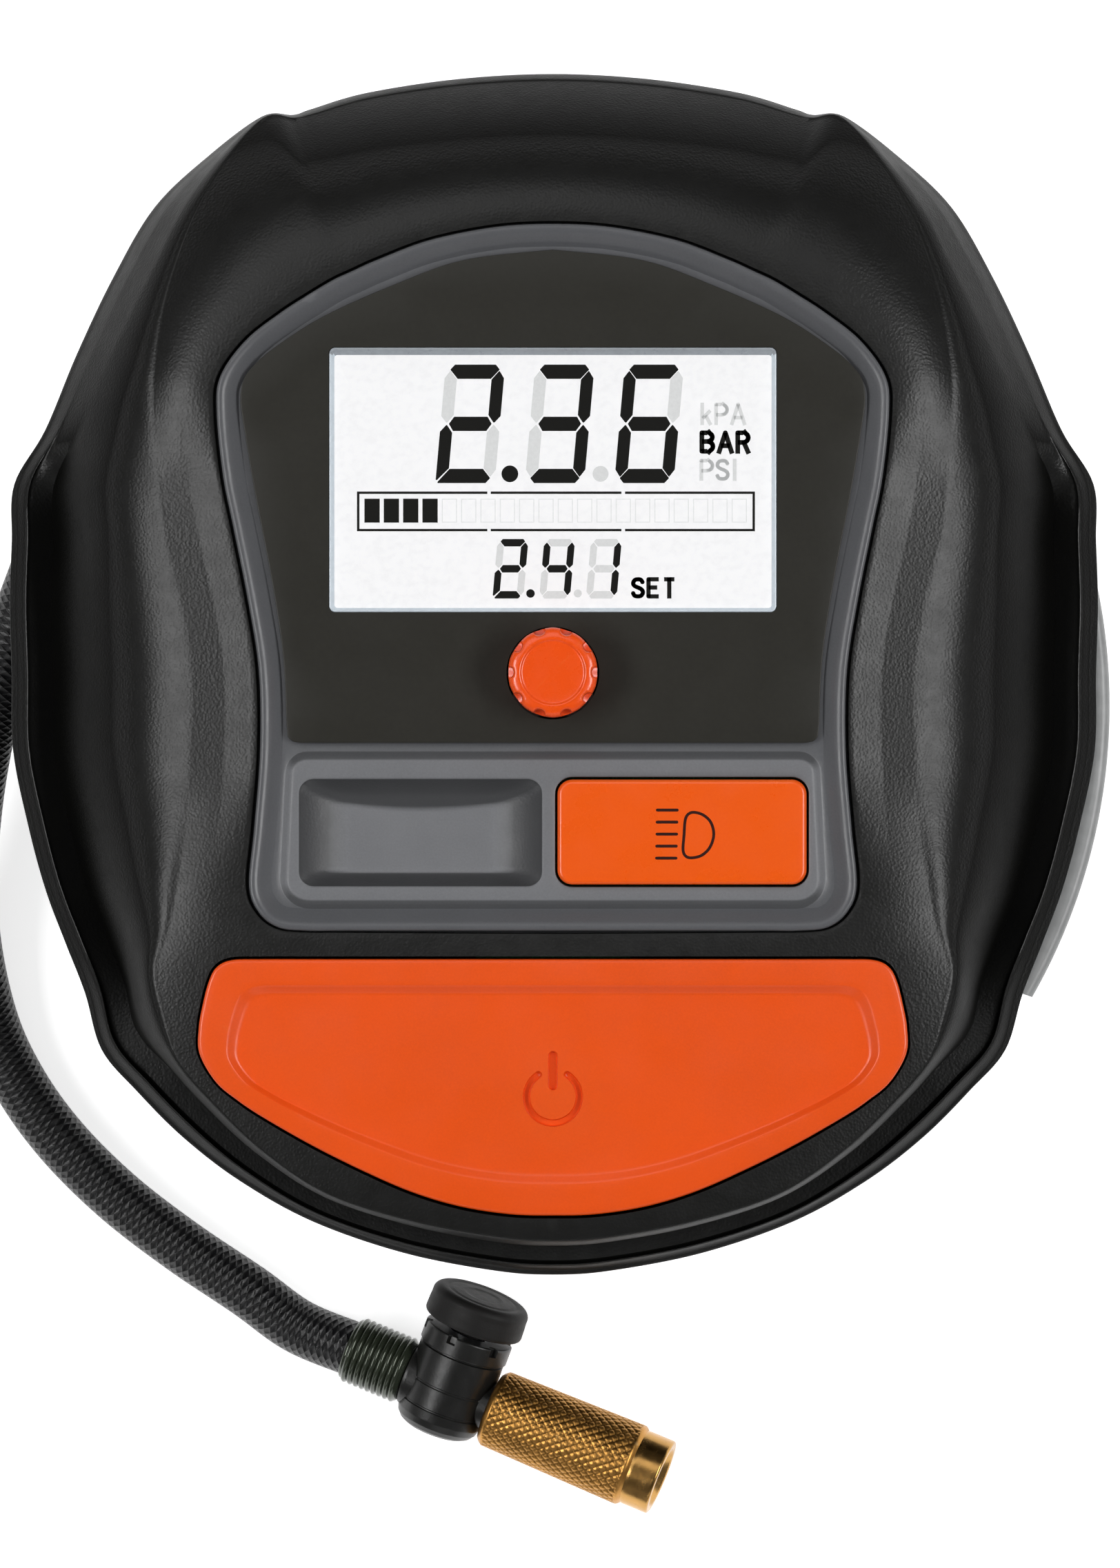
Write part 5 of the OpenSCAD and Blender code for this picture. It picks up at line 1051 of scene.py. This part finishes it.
panel_half = np.array([
    (0, 65.4), (13.8, 63.8), (24.8, 59.9), (35.9, 54.9), (43.6, 49.9), (46.9, 46.9), (48.2, 44.8), (48.6, 42.2),
    (48.3, 39), (46.4, 27.6), (43.7, 13.5), (42, 2), (41.5, -8),
])
panel_foot = np.array([(41.3, -10.2), (40.6, -11.15), (39.2, -11.5), (30, -11.5), (20, -11.5), (10, -11.5), (0, -11.5)])
right = np.vstack([curve(panel_half, 8), panel_foot])
panel_line = grown(even(np.vstack([right, right[-2:0:-1] * [-1, 1]]), 420), -0.45)
window = inset(LCD, -0.1, 1.0, 8)


def panel_piece():
    low, top_line = FACE_Z + 0.02, grown(panel_line, -0.18)
    return joined(
        skin((panel_line, low), (panel_line, PANEL_TOP - 0.16), (grown(panel_line, -0.05), PANEL_TOP - 0.04),
             (top_line, PANEL_TOP)),
        skin((window, PANEL_TOP), (window, low)), skin((knob_hole, PANEL_TOP), (knob_hole, low)),
        filled(top_line, [window, knob_hole], 6.0, PANEL_TOP), filled(panel_line, [window, knob_hole], 9.0, low),
    )


mesh("display_panel_glossy", panel_piece(), "display_panel", "panel_dark", 38, 0.003)

GLASS_TOP = 48.75
glass = inset(LCD, 0.1, 0.9, 8)
inner_glass = rounded([(-33.7, 9.75), (33.75, 9.75), (33.75, GLASS_TOP), (-33.7, GLASS_TOP)], 0.5, 8)
rim = skin(
    (glass, FACE_Z - 2.9), (glass, PANEL_TOP - 0.25), (mixed(glass, inner_glass, 0.25), PANEL_TOP - 0.2),
    (mixed(glass, inner_glass, 0.6), LCD_TOP + 0.25), (inner_glass, LCD_TOP), caps=FOOT,
)
face = filled(inner_glass, [], 6.0, LCD_TOP)
v, f = joined(rim, face)
# The glass's upper edge takes the greyer finish: a painted shadow of the panel's opening edge.
ids = [2 if min(v[i][1] for i in q) > GLASS_TOP - 0.15 else 0 for q in rim[1]] + [1] * len(face[1])
glass_mats = ["lcd_edge", "lcd_grey", "lcd_shade"]
mesh("display_glass", (v, f), "lcd_module", "lcd_grey", 30, 0.003, "housing", glass_mats, ids)

INK_Z = LCD_TOP + 0.02


def flat_piece(name, polys, mat, z=INK_Z, body="housing"):
    """Thin print: polygons at one height, all facing up."""
    vs, fs = [], []
    for p in polys:
        corners = [len(vs) + i for i in range(len(p))]
        fs.append(corners if area(p) > 0 else corners[::-1])
        vs += [(q[0], q[1], z) for q in p]
    return dress(name, mesh_data(name, vs, fs), [mat], body)


def box(x0, y0, x1, y1):
    return [(x0, y0), (x1, y0), (x1, y1), (x0, y1)]


def segments(x, y, w, h, tw, th, on, square):
    """A slanted seven-segment digit: its lit and its faint strokes."""
    g, mid, lean = 0.10, h / 2, 0.0886
    top = [
        (g + tw * 0.35, h - th * 0.35), (tw * 0.75, h), (w - tw * 0.75, h), (w - g - tw * 0.35, h - th * 0.35),
        (w - tw - g, h - th), (tw + g, h - th),
    ]
    left = [
        (0, h - th * 0.95), (tw * 0.42, h - th * 0.42), (tw, h - th - g), (tw, mid + th * 0.62), (tw * 0.5, mid + g),
        (0, mid + th * 0.55),
    ]
    middle = [
        (tw * 0.62 + g, mid), (tw + g, mid + th / 2), (w - tw - g, mid + th / 2), (w - tw * 0.62 - g, mid),
        (w - tw - g, mid - th / 2), (tw + g, mid - th / 2),
    ]
    right, foot, low_left = [(w - a, b) for a, b in left], [(a, h - b) for a, b in top], [(a, h - b) for a, b in left]
    low_right = [(w - a, b) for a, b in low_left]
    if square:
        foot = [(g * 1.5, 0), (w - tw * 0.75, 0), (w - g - tw * 0.35, th * 0.35), (w - tw - g, th), (tw + g, th)]
        low_left = [(0, g * 2.5), (tw, th + g)] + low_left[3:]
    shapes = {"a": top, "d": foot, "g": middle, "f": left, "b": right, "e": low_left, "c": low_right}
    drawn = {k: rounded([(x + a + lean * b, y + b) for a, b in p], 0.12, 2) for k, p in shapes.items()}
    return [p for k, p in drawn.items() if k in on], [p for k, p in drawn.items() if k not in on]


LARGE, SMALL = (-18.12, 13.79, 29.0, 9.15, 18.27, 1.9, 2.2), (-9.32, 7.2, 11.2, 4.75, 9.18, 1.05, 1.15)
lit, faint = [], []
for (x, pitch, *size), strokes in ((LARGE, ("abged", "abgcd", "acdefg")), (SMALL, ("abged", "bcfg", "bc"))):
    for k, on in enumerate(strokes):
        a, b = segments(x + pitch * k, *size, on, square=k == 0)
        lit += a
        faint += b
lit += [circle(-6.63, 30.43, 1.29, 32), circle(-3.45, 11.98, 0.66, 24)]
faint += [circle(7.35, 30.43, 1.22, 32), circle(3.84, 11.98, 0.62, 24)]

x0, x1, y0, y1, w = -30.2, 31.15, 21.57, 27.7, 0.37
for a, b in ((x0, -10.1), (-9.58, 10.57), (11.13, x1)):
    lit += [box(a, y, b, y + w) for y in (y0, y1 - w)]
lit += [box(x, y0 + w, x + w, y1 - w) for x in (x0, x1 - w)]
CELLS, FULL_CELLS, CELL_LINE, cells = 20, 4, 0.16, []
for k in range(CELLS):
    x0, y0, y1, e = -29.05 + 2.98 * k, 22.9, 26.6, CELL_LINE
    x1 = x0 + 2.35
    if k < FULL_CELLS:
        lit.append(box(x0, y0, x1, y1))
    else:
        cells += [box(x0, y0, x1, y0 + e), box(x0, y1 - e, x1, y1)]
        cells += [box(x0, y0 + e, x0 + e, y1 - e), box(x1 - e, y0 + e, x1, y1 - e)]
flat_piece("display_lit_segments", lit, "ink")
flat_piece("display_faint_segments", faint, "ghost")
flat_piece("display_bar_cells", cells, "cell")


def bowl(x0, x1, y0, y1):
    """The round side of a letter, from its upper to its lower end."""
    r = (y1 - y0) / 2
    side = [(x1 - (1 - sin(t)) * (x1 - x0), y0 + r + r * cos(t)) for t in np.linspace(0.5, pi - 0.5, 7)]
    return [(x0, y1)] + side + [(x0, y0)]


S_LINE = [
    (0.97, 0.78), (0.8, 0.96), (0.5, 1), (0.18, 0.95), (0.03, 0.76), (0.2, 0.6), (0.8, 0.43), (0.98, 0.24),
    (0.82, 0.05), (0.5, 0), (0.15, 0.05), (0, 0.24),
]
LETTERS = {
    "A": [[(0, 0), (0.5, 1), (1, 0)], [(0.17, 0.3), (0.83, 0.3)]],
    "B": [[(0.5, 0), (0, 0), (0, 1), (0.5, 1)], bowl(0.5, 0.95, 0.53, 1), [(0, 0.53), (0.55, 0.53)],
          bowl(0.5, 1, 0, 0.53)],
    "E": [[(1, 1), (0, 1), (0, 0), (1, 0)], [(0, 0.52), (0.85, 0.52)]],
    "I": [[(0.5, 0), (0.5, 1)]],
    "P": [[(0, 0), (0, 1), (0.5, 1)], bowl(0.5, 1, 0.45, 1), [(0, 0.45), (0.55, 0.45)]],
    "R": [[(0, 0), (0, 1), (0.5, 1)], bowl(0.5, 0.95, 0.48, 1), [(0, 0.48), (0.55, 0.48), (1, 0)]],
    "S": [curve(S_LINE, 3)],
    "T": [[(0, 1), (1, 1)], [(0.5, 1), (0.5, 0)]],
    "a": [[(0.9, 0), (0.9, 0.7)], bowl(0.45, 0.05, 0.0, 0.7), bowl(0.45, 0.9, 0.0, 0.7)],
    "k": [[(0, 0), (0, 1)], [(0.85, 0.68), (0.05, 0.26)], [(0.35, 0.42), (0.9, 0)]],
}
BREADTH = {"k": 0.9, "a": 0.8, "A": 1.16}


def band(points, width):
    """A flat band along a line: square at its ends, round at its corners."""
    out = []
    for a, b in zip(np.array(points[:-1]), np.array(points[1:])):
        t = (b - a) / np.linalg.norm(b - a)
        n = np.array([-t[1], t[0]]) * width / 2
        out.append([a - n, b - n, b + n, a + n])
    return out + [circle(*q, width / 2, 14) for q in points[1:-1]]


def words(name, text, x, y, height, width, weight, mat, gap=0.12):
    """Plain sans lettering from strokes; strokes that end in the open reach the full height."""
    shapes, at = [], x
    for ch in text:
        w = weight if ch == "I" else width * BREADTH.get(ch, 1)
        at += 0.3 if ch == "I" else 0
        for line in LETTERS[ch]:
            pts = [(at + weight / 2 + a * (w - weight), y + weight / 2 + b * (height - weight)) for a, b in line]
            for end, near in ((0, 1), (-1, -2)):
                if line[end][1] in (0, 1) and line[end][1] != line[near][1]:
                    pts[end] = (pts[end][0], y + line[end][1] * height)
            shapes += band(pts, weight)
        at += w + gap
    return flat_piece(name, shapes, mat)


words("display_unit_kpa", "kPA", 22.75, 37.95, 3.45, 2.25, 0.55, "ghost")
words("display_unit_bar", "BAR", 22.6, 33.53, 3.6, 2.45, 0.74, "ink")
words("display_unit_psi", "PSI", 22.6, 29.35, 3.4, 2.3, 0.57, "ghost")
words("display_word_set", "SET", 12.0, 11.2, 3.3, 2.25, 0.66, "ink", gap=0.16)

# ---------------------------------------------------------------- start button
CROWN_R, CROWN_TOP, FIELD_DROP = 220.0, 76.4, 1.1
POWER = np.array([0.0, -65.7])


def crowned(p, drop=0.0):
    """A line laid a drop below the button's crown."""
    return with_z(p, CROWN_TOP - CROWN_R + np.sqrt(CROWN_R ** 2 - (p[:, 1] + 40.0) ** 2) - drop)


def drawn_in(side, top, bottom):
    """The start button's edge drawn in at its sides, top and bottom, as in the CAD source."""
    low, high, w = -84.2, -44.4, 54.6
    p = start_line.copy()
    p[:, 0] *= 1 - side / w
    p[:, 1] = low + bottom + (p[:, 1] - low) * (1 - (top + bottom) / (high - low))
    return p


def power_bar(inset):
    y0, y1, w = -64.7 + inset, -58.6 - inset, 1.5 - 2 * inset
    half = w / 2 * circle(0, 0, 1, 20)[:11]
    return np.vstack([half + [0, y1 - w / 2], -half + [0, y0 + w / 2]])


def power_ring(inset):
    ro, ri = 4.66 - inset, 3.5 + inset
    gap = radians(33) + inset / 4
    a = np.linspace(pi / 2 + gap, pi / 2 + 2 * pi - gap, 70)
    m, r = (ro + ri) / 2, (ro - ri) / 2
    w = np.linspace(0, pi, 9)[1:-1]

    def at(centre, radius, turn):
        return centre + radius * np.stack([np.cos(turn), np.sin(turn)], 1)

    ends = [at(at(POWER, m, a[[i]]), r, a[i] + more + w) for i, more in ((-1, 0), (0, pi))]
    return np.vstack([at(POWER, ro, a), ends[0], at(POWER, ri, a[::-1]), ends[1]])


def start_piece():
    s, top, hem = start_line, grown(start_line, -0.55), drawn_in(2, 2, 2)
    edge = [crowned(s, 8.5), crowned(s, 0.55), crowned(grown(s, -0.07), 0.25), crowned(grown(s, -0.28), 0.06)]
    lip = [crowned(mixed(top, drawn_in(4.35, 3.9, 4.9), t)) for t in (0, 0.25, 0.5, 0.75, 1.0)]
    for side, t, b, drop in (
        (4.5, 4.05, 5.05, 0.06), (4.8, 4.35, 5.4, 0.28), (5.5, 5.05, 6.1, 0.86), (5.85, 5.4, 6.45, 1.06),
        (6.2, 5.75, 6.8, FIELD_DROP),
    ):
        lip.append(crowned(drawn_in(side, t, b), drop))
    marks, sunk = (power_ring, power_bar), ((0, 0), (0.05, 0.25), (0.14, 0.75), (0.22, 0.85))
    pits = [[crowned(mark(i), FIELD_DROP + d) for i, d in sunk] for mark in marks]
    field = filled(drawn_in(6.2, 5.75, 6.8), [mark(0) for mark in marks], 2.6, lambda p: crowned(p, FIELD_DROP)[:, 2])
    skirt = [crowned(s, 8.5), crowned(hem, 8.5), crowned(hem, 2.4)]
    return joined(loft(edge + lip[:1]), loft(lip), field, *[loft(m, caps=TOP_END) for m in (*pits, skirt)])


mesh("start_button_moulded", start_piece(), "start_button", "start_orange", 35, 0.003, "start_button_body")


# ---------------------------------------------------------------- lamp button and knob
def light_piece():
    line, top, face = inset(LIGHT, 0, 2.3, 10), TABLE_Z + 0.7, inset(LIGHT, 3.6, 1.6, 10)
    rings = [(line, 71.5), (line, top - 0.75)]
    for a in (15, 35, 55, 75, 90):
        rings.append((grown(line, -0.7 * (1 - cos(radians(a)))), top - 0.7 + 0.7 * sin(radians(a)) - 0.05))
    rings += [(grown(line, -1.2), top - 0.03), (face, top)]
    return joined(skin(*rings, caps=FOOT), filled(face, [], 3.0, top))


mesh("lamp_button_moulded", light_piece(), "light_button", "light_orange", 40, 0.003, "light_button_body")


def stroke(points, width):
    """A flat band of one width along a closed line."""
    p = np.asarray(points, float)
    t = np.roll(p, -1, 0) - np.roll(p, 1, 0)
    t /= np.linalg.norm(t, axis=1, keepdims=True)
    n = np.stack([-t[:, 1], t[:, 0]], 1) * width / 2
    out, back = p + n, p - n
    return [[out[i - 1], out[i], back[i], back[i - 1]] for i in range(len(p))]


marks = []
for k, (a, b) in enumerate(((16.1, 19.15), (16.07, 19.1), (16.04, 19.05), (16.0, 19.0), (15.97, 18.95))):
    y = -21.42 - 1.85 * k
    marks.append(arc(b, y, 0.23, -90, 90, 6) + arc(a, y, 0.23, 90, 270, 6))
d_line = [
    (21.7, -21.76), (20.8, -22.1), (20.36, -23.1), (20.2, -25.3), (20.05, -27.5), (20.45, -28.5), (21.4, -28.77),
    (22.95, -28.37), (24.2, -27.12), (24.78, -25.18), (24.32, -23.3), (23.12, -22.16),
]
marks += stroke(curve(d_line, 6, closed=True), 0.44)
flat_piece("lamp_button_mark", marks, "icon", TABLE_Z + 0.7 + 0.015, "light_button_body")


def knob_piece():
    """A turned cap with ten notches in its shoulder."""
    a, top, r0, shoulder, half = angles(400), 84.0, 6.9, 5.6, pi / 10
    away = np.abs((a + half) % (2 * half) - half) * r0
    notch = np.sqrt(np.clip(1 - (away / 0.95) ** 2, 0, 1))
    flat = np.clip(1 - away / 2.17, 0, 1) * 0.10
    loops = []
    for r, z in (
        (4.4, 73.2), (6.5, 73.2), (6.8, 73.4), (r0, 73.9), (r0, 77), (r0, 80.9), (r0, 81.1), (r0, 82.4), (6.88, 82.9),
        (6.8, 83.2), (6.64, 83.45), (6.4, 83.66), (6.1, 83.82), (5.85, 83.9), (5.5, 83.97), (5.2, 84.0), (5.02, 83.97),
        (4.9, 83.86), (4.78, 83.74), (4.6, 83.70), (3.5, 83.68), (2.0, 83.67), (0.5, 83.67),
    ):
        depth = 0.75 * np.clip((top - 0.15 - z) / 0.7, 0, 1) ** 0.5 * (z > 81.0)
        loops.append(ring(a, r - notch * depth - flat if r > shoulder else r, z))
    v, f = loft(loops, caps=BOTH)
    return v + [*KNOB, 0], f


mesh("target_knob_notched", knob_piece(), "target_knob", "knob_orange", 35, body="knob_body")

# ---------------------------------------------------------------- finishes of the CAD nodes that stay
for sub in frame["record"]["subparts"]:
    ob = frame["nodes"].get(sub["node"])
    if ob is None or ob.hide_render:
        continue
    m = M[sub["material_slot"]]
    if not ob.material_slots:
        ob.data.materials.append(m)
    for slot in ob.material_slots:
        slot.material = m

# ---------------------------------------------------------------- floor, lights and world
FLOOR_HALF, FLOOR_GREY, FLOOR_GLOW = 2500.0, 0.86, 0.75
me = mesh_data("floor", with_z(box(-FLOOR_HALF, -FLOOR_HALF, FLOOR_HALF, FLOOR_HALF), 0), [(0, 1, 2, 3)])
floor = linked("floor", me)
m, t, bs, _ = blank("floor white")
path = add(t, "LightPath").outputs
seen = calc(t, "MAXIMUM", path["Is Camera Ray"], path["Is Glossy Ray"])
seen = calc(t, "MAXIMUM", seen, path["Is Transmission Ray"])
fill(t, bs, {
    "Base Color": (FLOOR_GREY, FLOOR_GREY, FLOOR_GREY, 1), "Roughness": 0.9, "Specular IOR Level": 0.0,
    "Emission Strength": calc(t, "MULTIPLY", seen, FLOOR_GLOW), "Emission Color": (1, 1, 1, 1),
})
me.materials.append(m)

AIM = Vector((0.0, -0.01, 0.04))
for name, at, width, height, watts in (
    ("softbox left", (-0.76, -0.05, 0.98), 0.7, 0.34, 6.3), ("softbox right", (0.78, -0.03, 0.98), 0.7, 0.34, 7.3),
    ("softbox back", (-0.2, 0.66, 1.2), 1.0, 0.7, 2.6), ("softbox front", (0.0, -1.3, 0.62), 1.2, 0.3, 1.0),
):
    lamp = bpy.data.lights.new(name, "AREA")
    lamp.shape, lamp.size, lamp.size_y, lamp.energy = "RECTANGLE", width, height, watts
    ob = linked(name, lamp)
    ob.location = at
    ob.rotation_euler = (AIM - Vector(at)).to_track_quat("-Z", "Y").to_euler()

world = bpy.data.worlds.new("studio")
bpy.context.scene.world = world
world.use_nodes = True
wt = world.node_tree
wt.nodes.clear()
up = add(wt, "SeparateXYZ", {"Vector": add(wt, "TexCoord").outputs["Generated"]}).outputs[2]
sky = add(wt, "Background", {"Color": (1, 1, 1, 1), "Strength": ramp(wt, up, 0.0, 0.8, 0.20, 0.08)})
add(wt, "OutputWorld", {"Surface": sky.outputs[0]})

bpy.context.scene.view_settings.view_transform = "Standard"
